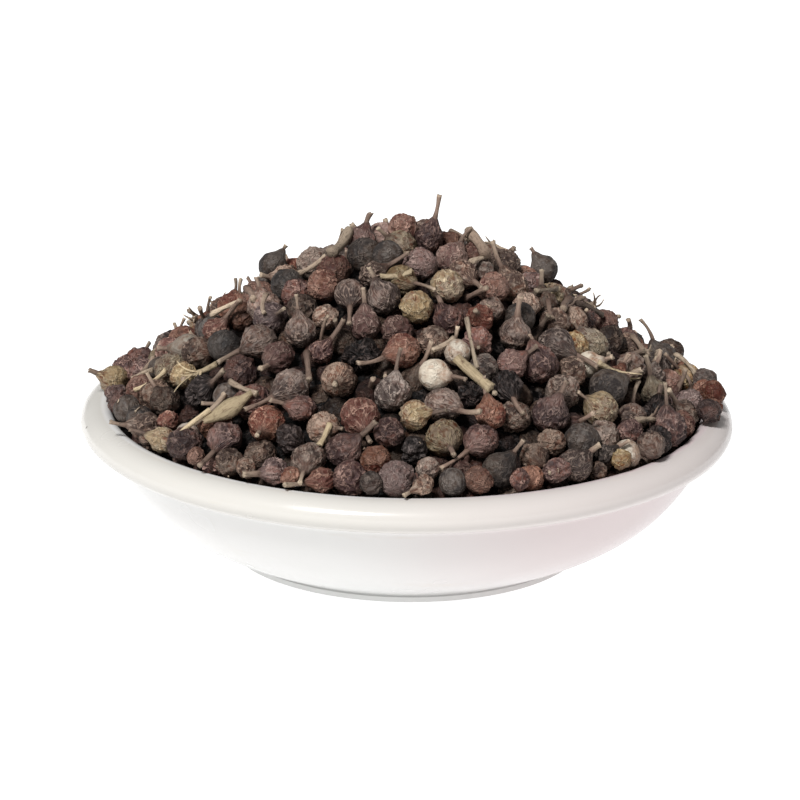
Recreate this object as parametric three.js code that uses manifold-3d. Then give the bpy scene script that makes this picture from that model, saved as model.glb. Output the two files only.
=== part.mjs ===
// A small white bowl heaped with cubeb pepper: dried berries about 4 to 6 mm across, some with their
// stalk.
//
// Millimetres, +Z up. The origin is the middle of the bowl's underside, on the surface that it stands
// on. Two solids: "bowl", turned from one profile, and "cubeb_heap", the berries that show on the heap,
// fused with their stalks and the loose stems to a smaller core that fills the bowl.

import * as THREE from "three";
import { mergeVertices } from "three/addons/utils/BufferGeometryUtils.js";
import Module from "manifold-3d";

const wasm = await Module();
wasm.setup();

// ---------------------------------------------------------------- driving dimensions

const BOWL = {
  radius: 50, // over the rim band
  height: 22.8,
  crestRadius: 46.6, // highest line of the rim
  bandBottom: 17.9, // where the rim band steps in to the body
  bandStep: 1.0,
  bandUnder: -60, // where the band's round outside starts, in degrees from level
  stepRise: 0.2, // height of the step under the band
  bodyTopRadius: 46.8,
  bodyBulge: [
    [39.7, 6.2],
    [42.1, 9.8],
  ], // control points of the body's outside, between foot and rim band
  footRadius: 27.6,
  footHeight: 1.0,
  footStraight: 0.8, // share of that height that is upright
  footWidth: 2.2,
  footInset: 0.4, // how far the body starts inside the foot's outer edge
  floorHeight: 3.0,
  floorRadius: 23,
  wallBulge: [
    [43.6, 14],
    [37.5, 4.4],
  ], // control points of the inside, between lip and floor
  crestDepth: 1.4, // the rounded inner edge of the rim
  crestWidth: 1.6,
  wallSteps: 4, // straight stretches of the inside, between lip and floor
  bodySteps: 5, // of the outside, between foot and rim band
  bandSteps: 5, // of the band's round outside
  crestSteps: 3, // of the rim's inner edge
  sides: 40,
};

const HEAP = {
  rise: 28.8, // tops of the berries at the middle, above the rim
  reach: 47.6, // where the tops come down to the rim
  power: 1.4, // 1 is a cone, 2 a round dome
  coreDepth: 3.8, // the solid core under the tops of the berries
  coreHold: 0.45, // how deep a berry's underside sits in the core
  coreReach: 42.5, // where the core's dome ends, over the bowl's wall
  coreEdge: [44.1, 20.6], // radius and height of the core's edge
  coreRings: [1, 0.7, 0.35, 0], // of its dome, as shares of coreReach
  coreSides: 14,
  seatedHeight: 0.95, // most height of a berry's middle over the core, as a share of its radius
  // A berry that is higher gets a hidden seat, a rod down into the core.
  seatWidth: 0.4, // thickness of that seat, as a share of the berry's radius
  seatLean: 0.2, // how far it leans inward, as a share of the berry's distance from the axis
  seatDrop: 6, // and how far it goes down
  wallGap: 0.4, // between the heap and the bowl
  wallSamples: 24, // points of the inside that a berry is tried against
};

const BERRY = {
  count: 220, // besides the notable ones
  least: 1.8, // radius
  spread: 1.25,
  sunk: 1.3, // how far the lowest berries' tops lie under the heap's surface
  outermost: 44, // distance of a berry's middle from the axis
  facetGrowth: 1.04, // a 16-sided berry is drawn larger, so that it is as wide as a round one
  ringLatitude: 22, // of its corners, in degrees
  lean: 0.2, // most of its random lean, as a slope
};

const STALK = {
  share: 0.24, // of the berries try to have one
  tries: 8, // directions looked at
  shortest: 2.4, // free length
  longest: 5.6,
  neck: 1.1, // length of the drawn-out neck between berry and stalk
  neckStart: 0.7, // where it leaves the berry, as a share of the berry's radius
  neckWidth: 0.5, // its radius there, as a share of the berry's
  thick: 0.45, // radius
  tip: 0.36,
  sides: 3,
  facetGrowth: 1.2, // a 3-sided stalk is drawn thicker, so that it is as wide as a round one
  standOut: 1.8, // how far a stalk may stand out of the heap's surface
  deepest: 2.4, // and how deep its end may lie
  rimRoom: 1.1, // height above the rim of a stalk that crosses it
  rimEdge: 44.6, // where the rim starts, for that
  rimReach: 49.3,
};

const SETTLING = {
  seed: 20731,
  candidates: 14, // places looked at for each berry, of which it takes the emptiest
  rounds: 90, // in which berries that overlap push each other away
  push: 0.4, // share of an overlap undone in a round
  pull: 0.15, // share of the way back to its own depth
};

// The berries that the photo shows plainly: x, y, radius, how far they stand out, and the stalk as
// x, y, z from the berry's middle to its end.
const NOTABLE = [
  { at: [3.2, -0.8], radius: 2.4, stalk: [1.3, 1.6, 6.4] }, // topmost, stalk upright
  { at: [-0.9, 2.6], radius: 2.5, lift: 0.6 }, // russet beside it
  { at: [-7.3, 3.5], radius: 2.4, stalk: [1.5, 1.1, 4.3] }, // dark and wrinkled
  { at: [-3.1, -6.3], radius: 2.4 }, // round and grey
  { at: [-21, 8.9], radius: 2.2, lift: 2.2, stalk: [2.1, 0.9, 3.1] }, // left shoulder
  { at: [21, 8.9], radius: 2.2, lift: 2.2, stalk: [-2.1, 0.9, 3.1] }, // right shoulder
  { at: [-14.5, 1.4], radius: 2.75, lift: 0.3 },
  { at: [14.5, 1.4], radius: 2.75, lift: 0.3 },
  { at: [-12.6, -8.8], radius: 2.6 }, // reddish
  { at: [12.6, -8.8], radius: 2.6 }, // reddish
  { at: [-8.5, -13.2], radius: 2.5, stalk: [-0.1, -7.4, -2.3] }, // fluted, stalk down the slope
  { at: [1.2, -16.9], radius: 2.6 }, // olive
  { at: [5.6, -12.1], radius: 2.6 }, // straw yellow
  { at: [-15.8, -17.6], radius: 2.4, stalk: [-0.7, 1.5, 5.5] }, // fluted, long neck up
  { at: [15.8, -17.6], radius: 2.4, stalk: [0.7, 1.5, 5.5] }, // fluted, long neck up
  { at: [-0.7, -24.2], radius: 2.65, stalk: [-6.6, -3.7, -0.8] }, // red-brown, pale stalk
  { at: [-21.9, -15], radius: 2.7, stalk: [-6.1, -2.8, -2.5] }, // long stalk with a torn spike
  { at: [21.9, -15], radius: 2.7, stalk: [6.1, -2.8, -2.5] }, // long stalk with a torn spike
  { at: [7.2, -24.4], radius: 2 }, // cream
  { at: [19.4, -20.3], radius: 3, stalk: [-1.6, 1.6, 4] }, // large, dark
  { at: [14.5, -27.4], radius: 2.3, stalk: [2.2, -5.4, -2.4] }, // black, shrivelled
  { at: [-16.8, -26.5], radius: 2.8, stalk: [-6.7, -3.1, -2.4] }, // grey, fluted
  { at: [-45, 0], radius: 2.3, lift: 2.6, stalk: [-3.9, 0, 1.6] }, // greenish, on the rim
  { at: [-42, -12], radius: 2.2, lift: 0.6 }, // small, grey
  { at: [-38.5, -20.5], radius: 2.3, lift: 0.6, stalk: [-5.3, -0.6, 1] }, // stalk over the rim
  { at: [-35.6, -26], radius: 2, lift: 0.5, stalk: [-5, 1.2, 1.1] }, // orange, stalk over the rim
  { at: [-26.2, -30.7], radius: 2.7, stalk: [-3.4, -6.7, -1.8] }, // purple-brown
  { at: [-6.8, -33.5], radius: 3, stalk: [1.6, -5.8, -1.7] }, // the largest
  { at: [-14, -38.4], radius: 2.65, stalk: [-1, -6.6, -1.3] }, // stalk down over the rim
  { at: [1, -34.4], radius: 2.2, stalk: [4.6, -0.4, 1.1] }, // yellow, pale stalk
  { at: [10.6, -36.3], radius: 2.6, stalk: [-5.8, -5.9, -2.2] }, // the longest stalk
  { at: [20.7, -28.9], radius: 2.7, stalk: [2.3, 1.4, 4.6] }, // dark
  { at: [28.3, -23.4], radius: 2.65, stalk: [-3.4, -1.7, 3.2] }, // yellow, pointed
  { at: [25.3, -30.8], radius: 2.75 }, // dark, smooth
  { at: [24, -36], radius: 2.6, stalk: [3.7, 2.6, 2.4] }, // dark, fluted
  { at: [32, -29.4], radius: 2.1 }, // cream
  { at: [38.6, -20], radius: 2.9, stalk: [-0.5, 2, 6.5] }, // purple-brown, stalk up
  { at: [39.8, 11], radius: 2.6, lift: 1, stalk: [-3.4, 1.6, 6] }, // right shoulder by the rim
];

// Loose stems on the front of the heap, each as x, y of both ends and the radius.
const STEMS = [
  [-11.6, -4.8, -9.1, 2.7, 0.85], // straw stub, left of the top
  [11.6, -4.8, 9.1, 2.7, 0.85], // straw stub, right of the top
  [-4.2, -13.1, 0.5, -12.5, 0.45],
  [7, -27, 12, -30.5, 0.8], // twig
  [-31, -27.5, -26.5, -25, 0.5],
];

// Loose stems strewn over the rest of the heap.
const STREWN = {
  count: 4,
  shortest: 3.5,
  longest: 8,
  thick: 0.42, // radius
  taper: 0.85, // of a stem's second end, against the first
  reach: 40, // furthest from the axis
  front: -6, // they lie behind this y
  depth: 0.9, // of a stem's axis under the heap's surface
};

// ---------------------------------------------------------------- the bowl

// Points on a cubic curve, both ends included.
function cubic(a, b, c, d, steps) {
  return Array.from({ length: steps + 1 }, (_, i) => {
    const t = i / steps;
    const s = 1 - t;
    const blend = (p, q, u, v) => s * s * s * p + 3 * s * s * t * q + 3 * s * t * t * u + t * t * t * v;
    return [blend(a[0], b[0], c[0], d[0]), blend(a[1], b[1], c[1], d[1])];
  });
}

// Points on an arc of an ellipse, angles in degrees.
function ellipseArc(centre, halfWidth, halfHeight, from, to, steps) {
  return Array.from({ length: steps + 1 }, (_, i) => {
    const angle = THREE.MathUtils.degToRad(from + ((to - from) * i) / steps);
    return [centre[0] + halfWidth * Math.cos(angle), centre[1] + halfHeight * Math.sin(angle)];
  });
}

// The bowl's outside from the foot up to the crest of the rim, as [radius, height].
function outerWall() {
  const bodyStart = [BOWL.footRadius - BOWL.footInset, BOWL.footHeight];
  const bodyEnd = [BOWL.bodyTopRadius, BOWL.bandBottom];
  const bandHalf = (BOWL.height - BOWL.bandBottom) / 2;
  return [
    [BOWL.footRadius, 0],
    [BOWL.footRadius, BOWL.footHeight * BOWL.footStraight],
    ...cubic(bodyStart, ...BOWL.bodyBulge, bodyEnd, BOWL.bodySteps),
    [BOWL.bodyTopRadius + BOWL.bandStep, BOWL.bandBottom + BOWL.stepRise],
    ...ellipseArc(
      [BOWL.crestRadius, BOWL.height - bandHalf],
      BOWL.radius - BOWL.crestRadius,
      bandHalf,
      BOWL.bandUnder,
      90,
      BOWL.bandSteps,
    ),
  ];
}

// The inside from the crest down to the edge of the floor.
function innerWall(wallSteps) {
  const lip = [BOWL.crestRadius - BOWL.crestWidth, BOWL.height - BOWL.crestDepth];
  const floorEdge = [BOWL.floorRadius, BOWL.floorHeight];
  const middle = [BOWL.crestRadius, lip[1]];
  return [
    ...ellipseArc(middle, BOWL.crestWidth, BOWL.crestDepth, 90, 180, BOWL.crestSteps),
    ...cubic(lip, ...BOWL.wallBulge, floorEdge, wallSteps).slice(1),
  ];
}

// A solid of revolution about Z. The profile runs from the axis round to the axis again.
function turned(profile, sides) {
  const points = profile.map(([radius, height]) => new THREE.Vector2(radius, height));
  return new THREE.LatheGeometry(points, sides).rotateX(Math.PI / 2);
}

function bowlGeometry() {
  const footInside = BOWL.footRadius - BOWL.footWidth;
  return turned(
    [
      [0, BOWL.footHeight],
      [footInside, BOWL.footHeight],
      [footInside, 0],
      ...outerWall(),
      ...innerWall(BOWL.wallSteps).slice(1),
      [0, BOWL.floorHeight],
    ],
    BOWL.sides,
  );
}

// ---------------------------------------------------------------- laying the berries

// A repeatable source of numbers from 0 to 1.
function numberSource(seed) {
  let state = seed >>> 0;
  return () => {
    state = (Math.imul(state, 1664525) + 1013904223) >>> 0;
    return state / 4294967296;
  };
}

// Height of the heap's surface, over the berries' tops, at a distance from the middle.
function surface(rho) {
  return BOWL.height + HEAP.rise * (1 - Math.pow(rho / HEAP.reach, HEAP.power));
}

const wallPoints = innerWall(HEAP.wallSamples);

// Height of a ball's middle where it would rest on the bowl's wall alone, or -Infinity clear of the wall.
function wallHeight(x, y, radius) {
  const rho = Math.sqrt(x * x + y * y);
  const reach = radius + HEAP.wallGap;
  let height = -Infinity;
  for (const [wallRho, wallTop] of wallPoints) {
    const off = rho - wallRho;
    if (off * off < reach * reach) {
      height = Math.max(height, wallTop + Math.sqrt(reach * reach - off * off));
    }
  }
  return height;
}

// A berry at x, y whose top lies so far under the heap's surface, or higher where the wall holds it up.
function berryAt(x, y, radius, depth) {
  const z = surface(Math.sqrt(x * x + y * y)) - depth - radius;
  return { x, y, z: Math.max(z, wallHeight(x, y, radius)), radius, depth };
}

// Strews berries evenly: each takes the place, of a few, that lies furthest from the berries already there.
function strewBerries(count, taken, random) {
  const berries = [];
  for (let i = 0; i < count; i += 1) {
    const radius = BERRY.least + (BERRY.spread * (random() + random())) / 2;
    const seated = Math.max(0, HEAP.coreDepth + HEAP.coreHold - 2 * radius);
    const depth = seated + BERRY.sunk * random();
    let best = null;
    let emptiest = -Infinity;
    for (let tries = 0; tries < SETTLING.candidates; tries += 1) {
      const rho = BERRY.outermost * Math.sqrt(random());
      const angle = 2 * Math.PI * random();
      const berry = berryAt(rho * Math.cos(angle), rho * Math.sin(angle), radius, depth);
      let room = Infinity;
      for (const ball of [...taken, ...berries]) {
        room = Math.min(room, distance(berry, ball) - ball.radius);
      }
      if (room > emptiest) {
        emptiest = room;
        best = berry;
      }
    }
    berries.push(best);
  }
  return berries;
}

function distance(a, b) {
  const [dx, dy, dz] = [a.x - b.x, a.y - b.y, a.z - b.z];
  return Math.sqrt(dx * dx + dy * dy + dz * dz);
}

// Lets the berries push each other, and be pushed by what is fixed, until they lie side by side.
function settle(berries, fixed) {
  for (let round = 0; round < SETTLING.rounds; round += 1) {
    const moves = berries.map((berry) => {
      const move = { x: 0, y: 0, z: 0 };
      for (const ball of [...berries, ...fixed]) {
        const apart = distance(berry, ball);
        const overlap = berry.radius + ball.radius - apart;
        if (ball === berry || overlap <= 0) continue;
        for (const axis of ["x", "y", "z"]) {
          move[axis] += (SETTLING.push * overlap * (berry[axis] - ball[axis])) / apart;
        }
      }
      return move;
    });
    berries.forEach((berry, i) => {
      const x = berry.x + moves[i].x;
      const y = berry.y + moves[i].y;
      const inward = Math.min(1, BERRY.outermost / Math.sqrt(x * x + y * y));
      const home = berryAt(x * inward, y * inward, berry.radius, berry.depth);
      const z = berry.z + moves[i].z;
      const floor = wallHeight(home.x, home.y, berry.radius);
      berry.x = home.x;
      berry.y = home.y;
      berry.z = Math.max(z + SETTLING.pull * (home.z - z), floor);
    });
  }
}

// ---------------------------------------------------------------- stalks and stems

// Small balls along a stalk, which take its room in the heap. It runs to [x, y, z] from the middle.
function stalkBeads(berry, [x, y, z]) {
  const reach = Math.sqrt(x * x + y * y + z * z);
  const count = Math.ceil(reach - berry.radius);
  return Array.from({ length: count }, (_, i) => {
    const share = (berry.radius + ((reach - berry.radius) * (i + 1)) / count) / reach;
    const middle = { x: berry.x + x * share, y: berry.y + y * share, z: berry.z + z * share };
    return { ...middle, radius: STALK.thick };
  });
}

// Whether a stalk's bead keeps clear of the berries, the bowl and the room above the heap.
function isFree(bead, berry, settled) {
  const rho = Math.sqrt(bead.x * bead.x + bead.y * bead.y);
  if (rho > STALK.rimReach || surface(rho) + STALK.standOut < bead.z) return false;
  if (surface(rho) - STALK.deepest > bead.z) return false;
  if (rho > STALK.rimEdge && bead.z < BOWL.height + STALK.rimRoom) return false;
  if (bead.z < wallHeight(bead.x, bead.y, bead.radius * STALK.facetGrowth)) return false;
  return settled.every((ball) => ball === berry || distance(bead, ball) > ball.radius + bead.radius);
}

// Finds the way a berry's stalk can point, or leaves the berry without one.
function growStalk(berry, settled, random) {
  if (random() > STALK.share) return;
  const reach = berry.radius + STALK.shortest + (STALK.longest - STALK.shortest) * random();
  for (let i = 0; i < STALK.tries; i += 1) {
    const rise = 2 * random() - 1;
    const angle = 2 * Math.PI * random();
    const flat = Math.sqrt(1 - rise * rise);
    const stalk = [reach * flat * Math.cos(angle), reach * flat * Math.sin(angle), reach * rise];
    const beads = stalkBeads(berry, stalk);
    if (beads.every((bead) => isFree(bead, berry, settled))) {
      berry.stalk = stalk;
      settled.push(...beads);
      return;
    }
  }
}

// Lays a loose stem on the heap, from one x, y to another.
function layStem([x1, y1, x2, y2, radius]) {
  const end = (x, y) => [x, y, surface(Math.sqrt(x * x + y * y)) - STREWN.depth];
  return { from: end(x1, y1), to: end(x2, y2), radius };
}

// Chooses where the stems on the sides and the back lie.
function strewnStems(random) {
  const stems = [];
  while (stems.length < STREWN.count) {
    const rho = STREWN.reach * Math.sqrt(random());
    const angle = 2 * Math.PI * random();
    const turn = 2 * Math.PI * random();
    const length = STREWN.shortest + (STREWN.longest - STREWN.shortest) * random();
    const x = rho * Math.cos(angle);
    const y = rho * Math.sin(angle);
    const dx = (length / 2) * Math.cos(turn);
    const dy = (length / 2) * Math.sin(turn);
    if (y > STREWN.front) stems.push([x - dx, y - dy, x + dx, y + dy, STREWN.thick]);
  }
  return stems;
}

// ---------------------------------------------------------------- the heap's order

const random = numberSource(SETTLING.seed);
const notable = NOTABLE.map(({ at: [x, y], radius, lift = 0, stalk }) => ({
  ...berryAt(x, y, radius, -lift),
  stalk,
}));
const settled = notable.flatMap((berry) => [berry, ...(berry.stalk ? stalkBeads(berry, berry.stalk) : [])]);
const strewn = strewBerries(BERRY.count, settled, random);
settle(strewn, settled);
settled.push(...strewn);
for (const berry of strewn) growStalk(berry, settled, random);
const stems = [...STEMS, ...strewnStems(random)].map(layStem);

// ---------------------------------------------------------------- the heap's solid

// The axis about which three.js turns a lathe.
const UP = new THREE.Vector3(0, 1, 0);

// A closed solid from a three.js geometry.
function solid(geometry) {
  const bare = new THREE.BufferGeometry().setAttribute("position", geometry.getAttribute("position"));
  bare.setIndex(geometry.getIndex());
  const welded = mergeVertices(bare, 1e-4);
  const index = welded.getIndex().array;
  const corners = [];
  for (let i = 0; i < index.length; i += 3) {
    const [a, b, c] = [index[i], index[i + 1], index[i + 2]];
    if (a !== b && b !== c && c !== a) corners.push(a, b, c);
  }
  const mesh = new wasm.Mesh({
    numProp: 3,
    vertProperties: Float32Array.from(welded.getAttribute("position").array),
    triVerts: Uint32Array.from(corners),
  });
  return new wasm.Manifold(mesh);
}

// A three.js geometry from a solid.
function geometryOf(manifold) {
  const mesh = manifold.getMesh();
  const geometry = new THREE.BufferGeometry();
  geometry.setAttribute("position", new THREE.Float32BufferAttribute(mesh.vertProperties, 3));
  geometry.setIndex(new THREE.Uint32BufferAttribute(mesh.triVerts, 1));
  const flat = geometry.toNonIndexed();
  flat.computeVertexNormals();
  return flat;
}

// A spindle of a few sides: the profile gives [radius, distance] along a direction from a point.
function spindle(start, direction, profile, sides) {
  const along = new THREE.Vector3(...direction).normalize();
  const turn = new THREE.Quaternion().setFromUnitVectors(UP, along);
  const closed = [[0, profile[0][1]], ...profile, [0, profile.at(-1)[1]]];
  const points = closed.map(([radius, far]) => new THREE.Vector2(radius, far));
  return new THREE.LatheGeometry(points, sides).applyQuaternion(turn).translate(...start);
}

// A ball of 16 triangles: a corner at the top and the bottom, and between them eight corners that lie
// by turns above and below the middle.
function faceted(radius) {
  const latitude = THREE.MathUtils.degToRad(BERRY.ringLatitude);
  const corners = [0, 1, 0, 0, -1, 0];
  for (let i = 0; i < 8; i += 1) {
    const angle = (i * Math.PI) / 4;
    const height = Math.sin(latitude) * (i % 2 ? -1 : 1);
    corners.push(Math.cos(latitude) * Math.cos(angle), height, -Math.cos(latitude) * Math.sin(angle));
  }
  const faces = [];
  for (let i = 0; i < 8; i += 1) {
    const [here, next, beyond] = [2 + i, 2 + ((i + 1) % 8), 2 + ((i + 2) % 8)];
    if (i % 2) faces.push(1, beyond, here, next, here, beyond);
    else faces.push(0, here, beyond, here, next, beyond);
  }
  return new THREE.PolyhedronGeometry(corners, faces, radius, 0);
}

// Whether a berry's underside is deep enough in the core to be one with it.
function isSeated(berry) {
  const rho = Math.sqrt(berry.x * berry.x + berry.y * berry.y);
  const height = berry.z - (surface(rho) - HEAP.coreDepth);
  return rho < HEAP.coreReach && height < HEAP.seatedHeight * berry.radius;
}

function berrySolids(berry, facing) {
  const middle = [berry.x, berry.y, berry.z];
  const pieces = [
    faceted(berry.radius * BERRY.facetGrowth)
      .applyQuaternion(facing)
      .translate(...middle),
  ];
  if (!isSeated(berry)) {
    const inward = [-HEAP.seatLean * berry.x, -HEAP.seatLean * berry.y, -HEAP.seatDrop];
    const width = HEAP.seatWidth * berry.radius;
    const profile = [
      [width, 0],
      [width, new THREE.Vector3(...inward).length()],
    ];
    pieces.push(spindle(middle, inward, profile, STALK.sides));
  }
  if (berry.stalk) {
    const grown = (radius) => radius * STALK.facetGrowth;
    const profile = [
      [grown(berry.radius * STALK.neckWidth), berry.radius * STALK.neckStart],
      [grown(STALK.thick), berry.radius + STALK.neck],
      [grown(STALK.tip), new THREE.Vector3(...berry.stalk).length()],
    ];
    pieces.push(spindle(middle, berry.stalk, profile, STALK.sides));
  }
  return pieces.map(solid);
}

function stemSolid({ from, to, radius }) {
  const run = new THREE.Vector3(...to).sub(new THREE.Vector3(...from));
  const grown = radius * STALK.facetGrowth;
  const profile = [
    [grown, 0],
    [grown * STREWN.taper, run.length()],
  ];
  return solid(spindle(from, run.toArray(), profile, STALK.sides));
}

// The body under the berries: it fills the bowl and rises under the heap's surface.
function coreSolid() {
  const gap = HEAP.wallGap * Math.SQRT1_2;
  const wall = innerWall(BOWL.wallSteps).filter(([, height]) => height < HEAP.coreEdge[1]);
  const profile = [
    [0, BOWL.floorHeight + HEAP.wallGap],
    ...wall.reverse().map(([radius, height]) => [radius - gap, height + gap]),
    HEAP.coreEdge,
  ];
  for (const share of HEAP.coreRings) {
    const radius = HEAP.coreReach * share;
    profile.push([radius, surface(radius) - HEAP.coreDepth]);
  }
  return solid(turned(profile, HEAP.coreSides));
}

function heapGeometry() {
  const facing = numberSource(SETTLING.seed + 1);
  // Each berry has a corner outward, so that the core cuts few of its sides, and its own lean and spin.
  const faceOutward = (berry) => {
    const lean = () => BERRY.lean * (facing() - 0.5);
    const [slopeX, slopeY] = [berry.x / BOWL.radius + lean(), berry.y / BOWL.radius + lean()];
    const outward = new THREE.Vector3(slopeX, slopeY, 1).normalize();
    const spin = new THREE.Quaternion().setFromAxisAngle(UP, 2 * Math.PI * facing());
    return new THREE.Quaternion().setFromUnitVectors(UP, outward).multiply(spin);
  };
  const pieces = [
    coreSolid(),
    ...[...notable, ...strewn].flatMap((berry) => berrySolids(berry, faceOutward(berry))),
    ...stems.map(stemSolid),
  ];
  const bodies = wasm.Manifold.union(pieces).decompose();
  const whole = bodies.reduce((most, body) => (body.volume() > most.volume() ? body : most));
  return geometryOf(whole);
}

// ---------------------------------------------------------------- the object

const object = new THREE.Group();
const bowl = new THREE.Mesh(
  bowlGeometry(),
  new THREE.MeshStandardMaterial({ color: 0xece8e4, roughness: 0.28, metalness: 0 }),
);
bowl.name = "bowl";
const heap = new THREE.Mesh(
  heapGeometry(),
  new THREE.MeshStandardMaterial({ color: 0x594941, roughness: 0.85, metalness: 0 }),
);
heap.name = "cubeb_heap";
object.add(bowl, heap);

export default object;
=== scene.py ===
"""A small white bowl heaped with cubeb pepper: dried berries, many with their stalk, and loose stems.

Lengths are millimetres, in the frame's own axes, until a mesh is made. The heap's outer berries and their
stalks lie where the frame's do, by the same seeded rule. The skins, the stalks' bark, the glaze, more
berries near the rim, a second layer of berries under the first and the chaff are made here.
"""

import logging
import math
from collections.abc import Callable, Iterable, Sequence
from dataclasses import dataclass, field
from enum import Enum

import bpy
import numpy as np
from mathutils import Matrix, Vector

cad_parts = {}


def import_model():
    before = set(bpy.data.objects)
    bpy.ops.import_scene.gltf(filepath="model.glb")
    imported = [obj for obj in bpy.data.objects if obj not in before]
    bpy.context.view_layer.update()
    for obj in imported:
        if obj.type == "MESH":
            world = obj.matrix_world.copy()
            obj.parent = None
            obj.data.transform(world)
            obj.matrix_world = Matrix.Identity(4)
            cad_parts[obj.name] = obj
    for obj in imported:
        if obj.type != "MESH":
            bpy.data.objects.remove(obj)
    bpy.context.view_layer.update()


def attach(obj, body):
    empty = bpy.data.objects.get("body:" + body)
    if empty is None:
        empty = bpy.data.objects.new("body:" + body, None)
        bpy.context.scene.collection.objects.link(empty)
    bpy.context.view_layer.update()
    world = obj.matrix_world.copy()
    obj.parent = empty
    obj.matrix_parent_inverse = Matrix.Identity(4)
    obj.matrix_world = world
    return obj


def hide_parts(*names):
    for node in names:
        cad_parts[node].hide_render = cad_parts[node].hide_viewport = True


LOG = logging.getLogger("cubeb_bowl")
MM = 0.001
ROOT = "root"
BOWL_NODE = "bowl"
HEAP_NODE = "cubeb_heap"
GLAZE_SLOT = "glaze"
BERRY_SLOT = "berry_skin"
BAKE_MAP = "OFBake"
SLANTED = 0.7  # the most of an axis that may run along x, for a direction beside it to start from x

Colour = tuple[float, float, float, float]
Pair = tuple[float, float]
Triple = tuple[float, float, float]
Surface = tuple[np.ndarray, dict[str, np.ndarray]]  # points, and what the material reads at each

# The curve of a screen's colours: straight up to the toe's end, and a power from there on.
TOE_END = 0.04045
TOE_SLOPE = 12.92
CURVE_SHIFT = 0.055
CURVE_POWER = 2.4
FULL = 255

PHASES = (0, 6)  # the range of a wave's start, nearly a full turn in radians
ELSEWHERE = (-60, 60)  # how far apart two things lie in the pattern that they are cut from


def paint(red: int, green: int, blue: int) -> Colour:
    """Makes a linear colour from one that is named as a screen shows it.

    Args:
        red: The red channel, from 0 to 255.
        green: The green channel.
        blue: The blue channel.

    Returns:
        The colour, opaque.
    """
    shares = (channel / FULL for channel in (red, green, blue))
    linear = (
        s / TOE_SLOPE if s <= TOE_END else ((s + CURVE_SHIFT) / (1 + CURVE_SHIFT)) ** CURVE_POWER
        for s in shares
    )
    return (*linear, 1.0)


WHITE: Colour = (1.0, 1.0, 1.0, 1.0)


# ---------------- shader maths


class Value:
    """A number in a material. Python's operators on it add Math nodes."""

    def __init__(self, shader: "Shader", socket: bpy.types.NodeSocket) -> None:
        """Wraps a node's output.

        Args:
            shader: The material that the node belongs to.
            socket: The output.
        """
        self.shader = shader
        self.socket = socket

    def _math(self, operation: str, first: "Value | float", second: "Value | float") -> "Value":
        """Adds one Math node on two numbers."""
        node = self.shader.node("ShaderNodeMath", {"operation": operation}, {0: first, 1: second})
        return Value(self.shader, node.outputs[0])

    def __add__(self, other: "Value | float") -> "Value":
        """self + other."""
        return self._math("ADD", self, other)

    __radd__ = __add__

    def __sub__(self, other: "Value | float") -> "Value":
        """self - other."""
        return self._math("SUBTRACT", self, other)

    def __rsub__(self, other: float) -> "Value":
        """other - self."""
        return self._math("SUBTRACT", other, self)

    def __mul__(self, other: "Value | float") -> "Value":
        """self * other."""
        return self._math("MULTIPLY", self, other)

    __rmul__ = __mul__

    def __pow__(self, other: "Value | float") -> "Value":
        """self ** other."""
        return self._math("POWER", self, other)

    def between(self, low: float, high: float) -> "Value":
        """Goes smoothly from 0 where the number is low to 1 where it is high.

        Args:
            low: Where it is 0.
            high: Where it is 1.

        Returns:
            The share.
        """
        node = self.shader.node(
            "ShaderNodeMapRange",
            {"interpolation_type": "SMOOTHSTEP"},
            {"Value": self, "From Min": low, "From Max": high},
        )
        return Value(self.shader, node.outputs["Result"])


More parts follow.
